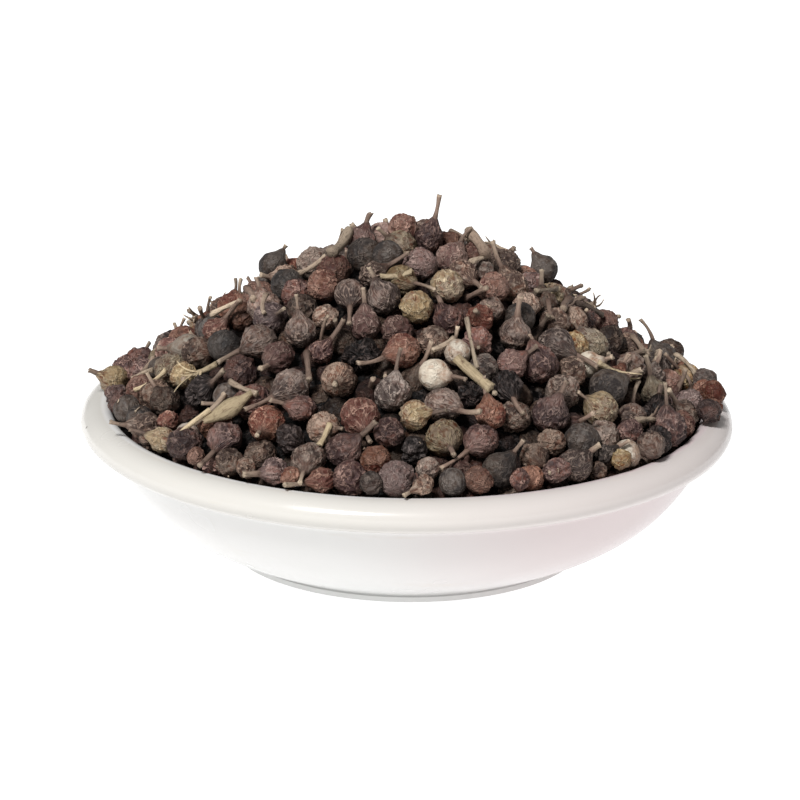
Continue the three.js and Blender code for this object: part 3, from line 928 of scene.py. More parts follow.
@dataclass
class Heap:
    """Where each berry and stalk lies."""

    bowl: Bowl
    rise: float = 28.8  # tops of the berries at the middle, above the rim
    reach: float = 47.6  # where the tops come down to the rim
    power: float = 1.4  # 1 is a cone, 2 a round dome
    core_depth: float = 3.8  # the frame's core under the tops of the berries
    core_hold: float = 0.45  # how deep a berry's underside sits in that core
    wall_gap: float = 0.4  # between a berry and the bowl's wall
    wall_samples: int = 24
    crest_samples: int = 3
    count: int = 220  # strewn berries, as many as the frame has
    least: float = 1.8  # their smallest radius
    spread: float = 1.25  # how much larger they can be
    sunk: float = 1.3  # how much deeper than held they can lie
    outermost: float = 44.0
    seed: int = 20731
    candidates: int = 14  # places that are tried for each berry
    rounds: int = 90
    push: float = 0.4  # share of an overlap that a round takes away
    pull: float = 0.15  # share of the way back to its own depth that a round takes a berry
    stem_count: int = 4  # strewn stems, as many as the frame has
    stem_shortest: float = 3.5
    stem_longest: float = 8.0
    stem_thick: float = 0.42
    stem_pale: float = 0.6
    stem_reach: float = 40.0
    stem_front: float = -6.0  # none lies further to the front
    under_count: int = 250  # berries of the second layer
    under_depth: float = 3.4
    under_sunk: float = 2.4
    under_rounds: int = 45
    under_seed: int = 811
    dark_from: float = 0.3  # the depth where the painted shade starts
    darkest_depth: float = 4.6
    edge_painted_shade: float = 0.35  # the most painted shade near the rim
    edge_tries: int = 7000
    edge_inner: float = 39.0
    edge_outer: float = 45.4
    edge_least: float = 1.4
    edge_spread: float = 1.1
    edge_sunk: float = 2.6  # how deep those of the first half of the tries can lie
    edge_deepest: float = 6.0  # how deep the others can lie
    edge_room: float = 0.7  # share of its radius that a berry's middle keeps clear of the others
    over_rim: float = -9.0  # the side where berries lie over the rim, in degrees
    over_width: float = 16.0
    over_reach: float = 2.0
    edge_seed: int = 4409
    stalks: Stalks = field(default_factory=Stalks)

    def __post_init__(self) -> None:
        """Lays the berries and grows their stalks, in the frame's order."""
        self.wall = self.bowl.inner_wall(self.wall_samples, self.crest_samples)
        random = NumberSource(self.seed)
        self.crowd = Crowd()
        self.notable = [self._notable(entry) for entry in NOTABLE]
        for berry in self.notable:
            self.crowd.add(berry.middle, berry.radius)
            if berry.stalk is not None:
                self._take_room(berry, self.beads(berry, berry.stalk))
        self.strewn = self.strew(self.count, random, self._seated_depth)
        self.settle(self.strewn, self.rounds)
        places = [self.crowd.add(berry.middle, berry.radius) for berry in self.strewn]
        for berry, place in zip(self.strewn, places):
            self.grow_stalk(berry, place, random, self.stalks)
        self.random = random

    def surface(self, rho: float) -> float:
        """Gives the height of the heap's surface, over the berries' tops, at a distance from the middle."""
        return self.bowl.height + self.rise * (1 - math.pow(rho / self.reach, self.power))

    def outward(self, middle: np.ndarray) -> np.ndarray:
        """Gives the direction out of the heap's surface.

        Args:
            middle: The point that it is over.

        Returns:
            The direction.
        """
        rho = max(1e-6, math.hypot(middle[0], middle[1]))
        slope = self.rise * self.power / self.reach * (rho / self.reach) ** (self.power - 1)
        return unit((slope * middle[0] / rho, slope * middle[1] / rho, 1))

    def wall_height(self, x: float, y: float, radius: float) -> float:
        """Gives the height of a ball's middle where it would rest on the bowl's wall alone.

        Args:
            x: How far to the right its middle is.
            y: How far to the back its middle is.
            radius: Its radius.

        Returns:
            The height, or minus infinity where it is clear of the wall.
        """
        rho = math.sqrt(x * x + y * y)
        reach = radius + self.wall_gap
        height = -math.inf
        for wall_rho, wall_top in self.wall:
            off = rho - wall_rho
            if off * off < reach * reach:
                height = max(height, wall_top + math.sqrt(reach * reach - off * off))
        return height

    def berry_at(self, x: float, y: float, radius: float, depth: float) -> Berry:
        """Gives a berry whose top lies so far under the surface, or higher where the wall holds it up."""
        z = self.surface(math.sqrt(x * x + y * y)) - depth - radius
        return Berry(np.array([x, y, max(z, self.wall_height(x, y, radius))]), radius, depth)

    def _notable(self, entry: Notable) -> Berry:
        """Places a berry of the list.

        Args:
            entry: Its line in the list.

        Returns:
            The berry.
        """
        berry = self.berry_at(*entry.at, entry.radius, -entry.lift)
        berry.kind = entry.kind
        berry.stalk = None if entry.stalk is None else np.array(entry.stalk, float)
        return berry

    def _seated_depth(self, radius: float, share: float) -> float:
        """Gives a berry's depth, so that the frame's core holds it."""
        return max(0.0, self.core_depth + self.core_hold - 2 * radius) + self.sunk * share

    def _under_depth(self, radius: float, share: float) -> float:
        """Gives the depth of a berry of the second layer."""
        return self.under_depth + self.under_sunk * share

    def painted_shade_at(self, depth: float) -> float:
        """Gives how much painted shade a berry gets at a depth under the heap's surface."""
        return min(1.0, max(0.0, (depth - self.dark_from) / (self.darkest_depth - self.dark_from)))

    def strew(
        self, count: int, random: NumberSource, depth_of: Callable[[float, float], float]
    ) -> list[Berry]:
        """Strews berries evenly. Each takes the place, of a few, that lies furthest from the others.

        Args:
            count: How many.
            random: The source of numbers.
            depth_of: Gives a depth from a radius and a number from 0 to 1.

        Returns:
            The berries.
        """
        crowd = Crowd()
        for middle, radius in zip(self.crowd.middles[: self.crowd.count], self.crowd.radii):
            crowd.add(middle, radius)
        berries = []
        for _ in range(count):
            radius = self.least + (self.spread * (random() + random())) / 2
            depth = depth_of(radius, random())
            best, emptiest = None, -math.inf
            for _ in range(self.candidates):
                rho = self.outermost * math.sqrt(random())
                angle = 2 * math.pi * random()
                berry = self.berry_at(rho * math.cos(angle), rho * math.sin(angle), radius, depth)
                room = crowd.gaps(berry.middle).min()
                if room > emptiest:
                    best, emptiest = berry, room
            # the deeper a berry lies, the more painted shade it gets
            best.painted_shade = self.painted_shade_at(depth)
            crowd.add(best.middle, radius)
            berries.append(best)
        return berries

    def settle(self, berries: list[Berry], rounds: int) -> None:
        """Lets berries push each other, and be pushed by the crowd, until they lie side by side.

        Args:
            berries: The berries.
            rounds: How often they push.
        """
        places = np.array([berry.middle for berry in berries])
        radii = np.array([berry.radius for berry in berries])
        fixed = self.crowd.middles[: self.crowd.count]
        fixed_radii = self.crowd.radii[: self.crowd.count]
        itself = np.eye(len(berries), len(berries) + len(fixed), dtype=bool)
        for _ in range(rounds):
            off = places[:, None] - np.concatenate([places, fixed])[None]
            apart = np.sqrt(off[..., 0] ** 2 + off[..., 1] ** 2 + off[..., 2] ** 2)
            overlap = radii[:, None] + np.concatenate([radii, fixed_radii])[None] - apart
            overlap[itself | (overlap < 0)] = 0
            apart[itself] = 1
            moved = places + ((self.push * overlap / apart)[..., None] * off).sum(1)
            for i, berry in enumerate(berries):
                x, y, z = moved[i]
                inward = min(1, self.outermost / math.sqrt(x * x + y * y))
                home = self.berry_at(x * inward, y * inward, berry.radius, berry.depth).middle
                floor = self.wall_height(home[0], home[1], berry.radius)
                places[i] = (home[0], home[1], max(z + self.pull * (home[2] - z), floor))
        for berry, place in zip(berries, places):
            berry.middle = place

    def beads(self, berry: Berry, stalk: np.ndarray) -> np.ndarray:
        """Gives the middles of small balls along a stalk, which take its room in the heap.

        Args:
            berry: The berry that it grows on.
            stalk: The way from the berry's middle to the stalk's end.

        Returns:
            The middles.
        """
        reach = math.sqrt(float(stalk @ stalk))
        count = math.ceil(reach - berry.radius)
        shares = (berry.radius + ((reach - berry.radius) * (np.arange(count) + 1)) / count) / reach
        return berry.middle + stalk * shares[:, None]

    def _take_room(self, berry: Berry, beads: np.ndarray) -> None:
        """Adds a stalk's beads to the crowd."""
        for bead in beads:
            self.crowd.add(bead, self.stalks.thick)

    def is_free(self, bead: np.ndarray, place: int, sizes: Stalks) -> bool:
        """Tells whether a stalk's bead keeps clear of the berries, the bowl and the room above the heap.

        Args:
            bead: Its middle.
            place: The number, in the crowd, of the berry that the stalk grows on.
            sizes: The room that such stalks keep.

        Returns:
            Whether it does.
        """
        x, y, z = (float(part) for part in bead)
        rho = math.sqrt(x * x + y * y)
        if rho > sizes.rim_reach or self.surface(rho) + sizes.stand_out < z:
            return False
        if self.surface(rho) - sizes.deepest > z:
            return False
        if rho > sizes.rim_edge and z < self.bowl.height + sizes.rim_room:
            return False
        if z < self.wall_height(x, y, sizes.thick * sizes.facet_growth):
            return False
        gaps = self.crowd.gaps(bead)
        gaps[place] = math.inf
        return bool(np.all(gaps > sizes.thick))

    def grow_stalk(self, berry: Berry, place: int, random: NumberSource, sizes: Stalks) -> None:
        """Finds the way a berry's stalk can point, or leaves the berry without one.

        Args:
            berry: The berry.
            place: Its number in the crowd.
            random: The source of numbers.
            sizes: The sizes of such stalks and the room that they keep.
        """
        if random() > sizes.share:
            return
        reach = berry.radius + sizes.shortest + (sizes.longest - sizes.shortest) * random()
        for _ in range(sizes.tries):
            rise = 2 * random() - 1
            angle = 2 * math.pi * random()
            flat = math.sqrt(1 - rise * rise)
            stalk = np.array([reach * flat * math.cos(angle), reach * flat * math.sin(angle), reach * rise])
            beads = self.beads(berry, stalk)
            if all(self.is_free(bead, place, sizes) for bead in beads):
                berry.stalk = stalk
                self._take_room(berry, beads)
                return

    def under_berries(self) -> list[Berry]:
        """Strews the second layer of berries, which shows through the gaps of the first.

        Returns:
            The berries.
        """
        random = NumberSource(self.under_seed)
        under = self.strew(self.under_count, random, self._under_depth)
        self.settle(under, self.under_rounds)
        places = [self.crowd.add(berry.middle, berry.radius) for berry in under]
        for berry, place in zip(under, places):
            self.grow_stalk(berry, place, random, UNDER_STALKS)
        return under

    def edge_berries(self) -> list[Berry]:
        """Fills the room between the outer berries and the rim with more of them.

        Returns:
            The berries.
        """
        random = NumberSource(self.edge_seed)
        edge: list[Berry] = []
        for turn in range(self.edge_tries):
            angle = 2 * math.pi * random()
            aside = math.remainder(angle - math.radians(self.over_rim), 2 * math.pi)
            off = aside / math.radians(self.over_width)
            outer = self.edge_outer + self.over_reach * math.exp(-off * off)
            rho = self.edge_inner + (outer - self.edge_inner) * math.sqrt(random())
            radius = self.edge_least + self.edge_spread * random()
            sunk = self.edge_sunk if turn < self.edge_tries // 2 else self.edge_deepest
            berry = self.berry_at(rho * math.cos(angle), rho * math.sin(angle), radius, sunk * random())
            if self.crowd.gaps(berry.middle).min() > radius * self.edge_room:
                # berries near the rim get little painted shade
                berry.painted_shade = min(self.edge_painted_shade, self.painted_shade_at(berry.depth))
                place = self.crowd.add(berry.middle, radius)
                self.grow_stalk(berry, place, random, EDGE_STALKS)
                edge.append(berry)
        return edge

    def strewn_stems(self, extra: int) -> list[Stem]:
        """Chooses where the loose stems on the sides and the back lie: the frame's, and some more.

        Args:
            extra: How many more.

        Returns:
            The stems.
        """
        stems: list[Stem] = []
        while len(stems) < self.stem_count + extra:
            rho = self.stem_reach * math.sqrt(self.random())
            angle = 2 * math.pi * self.random()
            turn = 2 * math.pi * self.random()
            length = self.stem_shortest + (self.stem_longest - self.stem_shortest) * self.random()
            x, y = rho * math.cos(angle), rho * math.sin(angle)
            dx, dy = length / 2 * math.cos(turn), length / 2 * math.sin(turn)
            form = STREWN_FORMS[len(stems) % len(STREWN_FORMS)]
            if y > self.stem_front:
                ends = (x - dx, y - dy), (x + dx, y + dy)
                stems.append(Stem(*ends, self.stem_thick, form, self.stem_pale))
        return stems

    def more_stalks(self, seed: int) -> None:
        """Grows stalks on some of the outer berries that the frame leaves plain.

        Args:
            seed: Where the numbers start.
        """
        random = NumberSource(seed)
        first = len(self.notable) + sum(
            len(self.beads(berry, berry.stalk)) for berry in self.notable if berry.stalk is not None
        )
        for index, berry in enumerate(self.strewn):
            if berry.stalk is None:
                self.grow_stalk(berry, first + index, random, MORE_STALKS)


STEMS = [
    Stem((-11.6, -4.8), (-9.1, 2.7), 0.85, Form.STUB, 0.6),  # left of the top
    Stem((11.6, -4.8), (9.1, 2.7), 0.85, Form.STUB, 0.6),  # right of the top
    Stem((-4.2, -13.1), (0.5, -12.5), 0.45, Form.STUB, 0.8),
    Stem((7, -27), (12, -30.5), 0.85, Form.STUB, 0.8),
    Stem((-31, -27.5), (-26.5, -25), 0.5),
    Stem((-28.2, -17.4), (-32.7, -16), 0.4, Form.SPRAY, 0.9),
    Stem((28.2, -16.1), (32.8, -14.4), 0.4, Form.SPRAY, 0.9),
    Stem((-22.5, -28.3), (-29.5, -29.2), 1.3, Form.POD, 0.66),
    Stem((-28.5, -29), (-34, -30.8), 0.42, Form.STALK, 0.7),
    Stem((-14.7, -23.5), (-14.2, -28.3), 0.5),
    Stem((8.6, -19.7), (10, -27.6), 0.35, Form.STALK, 0.6),
    Stem((6.7, -23.4), (3.5, -25.7), 0.45),
    Stem((-11, -35.7), (-12.5, -38.4), 0.45, Form.STALK, 0.8),
    Stem((-29.9, -0.4), (-25.5, -3.1), 0.45, Form.STALK, 0.6),
    Stem((25.7, -0.2), (29.8, 3.6), 0.45, Form.STALK, 0.6),
    Stem((-21.3, -8.2), (-21.4, -13), 0.4),
    Stem((21, -7), (21.4, -11.7), 0.4),
    Stem((-24.5, -1), (-23.3, -7), 0.6, Form.STALK, 0.1),
    Stem((24.5, -1), (23.3, -7), 0.6, Form.STALK, 0.1),
    Stem((-38.7, -5.8), (-42, -3), 0.4, Form.STALK, 0.6),
    Stem((-41.1, -8.8), (-36.3, -9.7), 0.4, Form.STALK, 0.7),
    Stem((-25.9, -23.8), (-21.8, -28.3), 0.45),
    Stem((41.6, 6.9), (44.5, 3), 0.4, Form.STALK, 0.6),
    Stem((33.5, -24), (36.5, -21), 0.4, Form.SPRAY, 0.3),
]


@dataclass
class Bed:
    """The berries that loose stems lie on.

    Attributes:
        sunk: How far under the heap's surface a stem's ends would lie.
        step: How far apart a stem is tested.
        give: How far it may press into a berry.
        most: The most that berries lift it.
    """

    heap: Heap
    berries: list[Berry]
    sunk: float = 0.9
    step: float = 0.5
    give: float = 0.5
    most: float = 2.4

    def lay(self, stem: Stem) -> tuple[np.ndarray, np.ndarray]:
        """Finds where a stem comes to lie.

        Args:
            stem: The stem.

        Returns:
            Its two ends.
        """
        ends = [self._on_surface(*at) for at in (stem.start, stem.end)]
        run = ends[1] - ends[0]
        shares = np.linspace(0, 1, max(3, round(float(np.linalg.norm(run)) / self.step)))
        beads = ends[0] + run * shares[:, None]
        middles = np.array([berry.middle for berry in self.berries])
        reach = np.array([berry.radius for berry in self.berries]) + stem.thick - self.give
        flat = ((beads[:, None, :2] - middles[None, :, :2]) ** 2).sum(2)
        tops = middles[:, 2] + np.sqrt(np.maximum(0, reach**2 - flat))
        blocked = np.where(flat < reach**2, tops - beads[:, None, 2], 0)
        lift = min(self.most, max(0.0, float(blocked.max())))
        return ends[0] + [0, 0, lift], ends[1] + [0, 0, lift]

    def _on_surface(self, x: float, y: float) -> np.ndarray:
        """Gives the point of the heap where a stem's end would lie on a smooth heap."""
        return np.array([x, y, self.heap.surface(math.sqrt(x * x + y * y)) - self.sunk])


# ---------------- the berries


@dataclass(frozen=True)
class Relief:
    """How a kind of berry is wrinkled.

    Attributes:
        cell: Size of the meshes of its net of ridges.
        ridge: Height of the ridges.
        line: Half of their width.
        sink: How far the meshes sink between them.
        flutes: How many folds run to the stalk.
        fold: Height of those folds.
        fold_reach: How far round from the stalk they run, in radians.
        lumps: Unevenness, as a share of the radius.
        dents: How many hollows there are.
        dent: Their depth, as a share of the radius.
    """

    cell: float
    ridge: float
    line: float
    sink: float
    flutes: int
    fold: float
    fold_reach: float
    lumps: float
    dents: int
    dent: float


@dataclass(frozen=True)
class Pattern:
    """What the skins of all kinds share: how their wrinkles, blotches and grain are drawn.

    A scale is how fine a noise is. An edge is where it starts to count and where it counts in full.
    """

    patch_scale: float = 0.7  # of the patches where the wrinkles are strong
    patch_edge: Pair = (0.36, 0.62)
    ruffle_scale: float = 1.1
    ruffle: float = 0.7  # how far the lines are bent
    squash: Triple = (1.0, 1.0, 0.62)  # along the berry's own axes, the stalk's last
    net_scale: float = 0.75
    net_taper: float = 0.05  # how much thinner its lines are between the strong patches
    net_edge: Pair = (0.02, 0.11)
    net_gain: float = 0.65  # how much stronger they are in those
    curl_scale: float = 1.15
    curl_edge: Pair = (0.76, 0.97)
    curl_gain: float = 0.6
    faintest: float = 0.2  # how strong net and curling lines are elsewhere
    flow_scale: float = 1.7  # of the lines along the folds
    flow_edge: Pair = (0.66, 0.96)
    flow_share: float = 0.7
    # painted shade in the hollows away from the curling lines: where it fades and how strong it is
    hollow_shade_edge: Pair = (0.25, 0.65)
    hollow_shade_share: float = 0.45
    ridge_gain: float = 0.25
    ridge_least: float = 0.1
    neck_share: float = 0.7
    tone_gain: float = 0.4
    tint_gain: float = 0.2
    blotch_scale: float = 0.8
    blotch_edge: Pair = (0.32, 0.68)
    bloom_scale: float = 1.1
    bloom_edge: Pair = (0.64, 0.8)
    bloom_patch: float = 0.35  # how much the bloom keeps to the blotches
    dull_scale: float = 1.7
    dull_edge: Pair = (0.3, 0.7)
    dull_gain: float = 0.16
    grain_scale: float = 4.0
    grain_relief: float = 0.16
    crest_relief: float = 0.25  # how high the skin rises towards a curling line
    depth: float = 0.32  # of the finest wrinkles
    refraction: float = 1.45


@dataclass(frozen=True)
class Skin:
    """The colours of a kind of berry, with painted shade in its hollows, and how dull it is.

    Attributes:
        hollow_shade: Painted shade at the bottom of the hollows, darker than the skin.
        dark: The skin between the ridges.
        other: The colour of its blotches.
        ridge: The crests of the ridges.
        dust: The bloom that lies on it.
        dusty: How much of it there is.
        roughness: From 0, a mirror, to 1, chalk.
        wrinkled: How much its finest wrinkles show.
        gloss: How strongly it shines.
        pattern: How its wrinkles are drawn.
    """

    hollow_shade: Colour
    dark: Colour
    other: Colour
    ridge: Colour
    dust: Colour
    dusty: float
    roughness: float
    wrinkled: float = 1.0
    gloss: float = 0.3
    pattern: Pattern = Pattern()

    def material(self, name: str) -> bpy.types.Material:
        """Builds the skin.

        Args:
            name: The material's name.

        Returns:
            The material.
        """
        look = self.pattern
        shader = Shader(name)
        skin = shader.place("skin")
        strength = shader.noise(skin, look.patch_scale, detail=2.0).between(*look.patch_edge)
        crumpled = shader.stretch(shader.ruffle(skin, look.ruffle_scale, look.ruffle), look.squash)
        crest = shader.curl(crumpled, look.curl_scale)
        lines = self._lines(shader, crumpled, crest, strength)
        colour = self._ground(shader, skin)
        # Painted shade: the skin darkens in the hollows away from the curling lines.
        hollow_shade_mask = (1 - crest.between(*look.hollow_shade_edge)) * (look.hollow_shade_share * self.wrinkled)
        colour = shader.blend(hollow_shade_mask, colour, self.hollow_shade)
        colour = shader.blend(lines * self.wrinkled, colour, self.ridge)
        ridge = shader.attribute("ridge") * (strength * look.ridge_gain + look.ridge_least)
        colour = shader.blend(ridge, colour, self.ridge)
        colour = shader.blend(shader.attribute("neck") * look.neck_share, colour, BARK.base)
        value = 1 + shader.attribute("tone") * look.tone_gain
        saturation = 1 + shader.attribute("tint") * look.tint_gain
        dull = shader.noise(skin, look.dull_scale, detail=2.0).between(*look.dull_edge)
        surface = {
            "Base Color": shader.recolour(colour, value, saturation),
            "Roughness": self.roughness + dull * look.dull_gain,
            "IOR": look.refraction,
            "Specular IOR Level": self.gloss,
        }
        grain = shader.noise(skin, look.grain_scale, detail=2.0)
        relief = (lines + crest * look.crest_relief) * self.wrinkled + grain * look.grain_relief
        shader.finish(surface, relief, look.depth)
        return shader.material

    def _lines(
        self, shader: Shader, crumpled: bpy.types.NodeSocket, crest: Value, strength: Value
    ) -> Value:
        """Draws the wrinkles: a net and curling lines, and lines along the folds near the stalk.

        Args:
            shader: The material.
            crumpled: The place, ruffled and squashed.
            crest: How near a curling line is.
            strength: How strong the wrinkles are there.

        Returns:
            A number that is 1 on a strong line and 0 between the lines.
        """
        look = self.pattern
        near = shader.attribute("near")
        mesh = shader.cells(crumpled, look.net_scale, "DISTANCE_TO_EDGE")
        thinned = (mesh + (1 - strength) * look.net_taper).between(*look.net_edge)
        net = (1 - thinned) * (strength * look.net_gain + look.faintest)
        curl = crest.between(*look.curl_edge) * (strength * look.curl_gain + look.faintest)
        flow = shader.curl(shader.place("flow"), look.flow_scale).between(*look.flow_edge) * look.flow_share
        return (net + curl - net * curl) * (1 - near) + flow * near

    def _ground(self, shader: Shader, skin: bpy.types.NodeSocket) -> bpy.types.NodeSocket:
        """Mixes the colours under the wrinkles: the skin, its blotches and the bloom.

        Args:
            shader: The material.
            skin: The place on the skin.

        Returns:
            The mixed colour's output.
        """
        look = self.pattern
        patch = shader.attribute("patch")
        cloud = shader.noise(skin, look.blotch_scale)
        blotch = (patch + cloud - 0.5).between(*look.blotch_edge)
        colour = shader.blend(blotch, self.dark, self.other)
        film = shader.noise(skin, look.bloom_scale, detail=4.0) + patch * look.bloom_patch
        return shader.blend(film.between(*look.bloom_edge) * self.dusty, colour, self.dust)


@dataclass(frozen=True)
class Bark:
    """The colours of stalks or loose stems, from the berry's end to the tip.

    A scale is how fine a noise is. An edge is where it starts to count and where it counts in full.
    """

    base: Colour = paint(88, 68, 58)
    middle: Colour = paint(116, 96, 84)
    end: Colour = paint(182, 164, 142)
    groove: Colour = paint(62, 48, 41)
    roughness: float = 0.7
    refraction: float = 1.45
    base_range: Pair = (0.0, 0.5)  # where along it the base's colour goes
    fibre_scale: Triple = (5.0, 5.0, 0.7)
    fibre_edge: Pair = (0.48, 0.72)
    fibre_share: float = 0.55
    knot_scale: float = 1.2
    knot_edge: Pair = (0.56, 0.7)
    knot_share: float = 0.4
    tone_gain: float = 0.35
    dull_edge: Pair = (0.3, 0.7)
    dull_gain: float = 0.15
    depth: float = 0.14

    def material(self, name: str) -> bpy.types.Material:
        """Builds the bark.

        Args:
            name: The material's name.

        Returns:
            The material.
        """
        shader = Shader(name)
        skin = shader.place("skin")
        colour = shader.blend(shader.attribute("along").between(*self.base_range), self.base, self.middle)
        colour = shader.blend(shader.attribute("pale"), colour, self.end)
        fibre = shader.noise(shader.stretch(skin, self.fibre_scale), 1.0)
        knot = shader.noise(skin, self.knot_scale)
        furrow = fibre.between(*self.fibre_edge) * self.fibre_share
        scar = knot.between(*self.knot_edge) * self.knot_share
        colour = shader.blend(furrow + scar, colour, self.groove)
        surface = {
            "Base Color": shader.recolour(colour, 1 + shader.attribute("tone") * self.tone_gain),
            "Roughness": self.roughness + fibre.between(*self.dull_edge) * self.dull_gain,
            "IOR": self.refraction,
        }
        shader.finish(surface, fibre + knot, self.depth)
        return shader.material


BARK = Bark()
STRAW_BARK = Bark(paint(128, 110, 80), paint(146, 128, 94), paint(184, 166, 136), paint(92, 70, 52), 0.74)

# Cell, ridge, line, sink, flutes, fold, fold_reach, lumps, dents and dent of each kind.
RELIEFS = {
    Kind.NETTED: Relief(1.35, 0.2, 0.2, 0.22, 15, 0.14, 1.2, 0.07, 3, 0.13),
    Kind.RUSSET: Relief(1.25, 0.2, 0.2, 0.22, 14, 0.14, 0.9, 0.07, 4, 0.13),
    Kind.PURPLE: Relief(1.5, 0.25, 0.2, 0.28, 16, 0.2, 1.5, 0.08, 4, 0.15),
    Kind.GREY: Relief(1.6, 0.07, 0.2, 0.05, 14, 0.08, 1.0, 0.03, 1, 0.07),
    Kind.FLUTED: Relief(1.6, 0.15, 0.2, 0.14, 17, 0.22, 2.2, 0.07, 3, 0.12),
    Kind.SHRIVELLED: Relief(1.7, 0.42, 0.24, 0.5, 11, 0.34, 1.8, 0.14, 4, 0.24),
    Kind.STRAW: Relief(1.4, 0.2, 0.2, 0.2, 13, 0.18, 1.5, 0.08, 3, 0.13),
    Kind.CREAM: Relief(1.6, 0.04, 0.2, 0.03, 12, 0.05, 0.7, 0.05, 2, 0.1),
}

# Painted hollow shade, dark and other, then ridge, dust, dusty and roughness, and for some wrinkled and
# gloss.
SKINS = {
    Kind.NETTED: Skin(
        paint(34, 21, 16), paint(52, 38, 33), paint(94, 66, 54),
        paint(158, 136, 122), paint(154, 140, 128), 0.6, 0.56,
    ),
    Kind.RUSSET: Skin(
        paint(46, 20, 16), paint(88, 48, 40), paint(118, 81, 66),
        paint(168, 132, 116), paint(140, 114, 102), 0.5, 0.56,
    ),
    Kind.PURPLE: Skin(
        paint(32, 17, 15), paint(54, 37, 37), paint(104, 69, 60),
        paint(148, 122, 113), paint(122, 105, 100), 0.5, 0.5,
    ),
    Kind.GREY: Skin(
        paint(28, 21, 18), paint(42, 37, 36), paint(68, 55, 47),
        paint(110, 100, 93), paint(98, 91, 86), 0.6, 0.53, 0.7,
    ),
    Kind.FLUTED: Skin(
        paint(30, 19, 15), paint(50, 38, 35), paint(94, 68, 58),
        paint(156, 136, 124), paint(140, 127, 119), 0.6, 0.53, 1.0,
    ),
    Kind.SHRIVELLED: Skin(
        paint(2, 1, 1), paint(6, 4, 4), paint(20, 12, 11),
        paint(100, 88, 84), paint(22, 17, 17), 0.2, 0.46, 0.85, 0.2,
    ),
    Kind.STRAW: Skin(
        paint(76, 42, 25), paint(150, 128, 97), paint(98, 58, 36),
        paint(198, 178, 146), paint(178, 166, 146), 0.5, 0.56, 0.9,
    ),
    Kind.CREAM: Skin(
        paint(130, 108, 92), paint(190, 180, 165), paint(138, 110, 92),
        paint(208, 199, 185), paint(200, 192, 178), 0.4, 0.48, 0.4,
    ),
}

# What share of the berries that aren't listed is of each kind.
SHARES = {
    Kind.NETTED: 0.25,
    Kind.RUSSET: 0.2,
    Kind.PURPLE: 0.2,
    Kind.GREY: 0.1,
    Kind.FLUTED: 0.1,
    Kind.SHRIVELLED: 0.06,
    Kind.STRAW: 0.075,
    Kind.CREAM: 0.015,
}


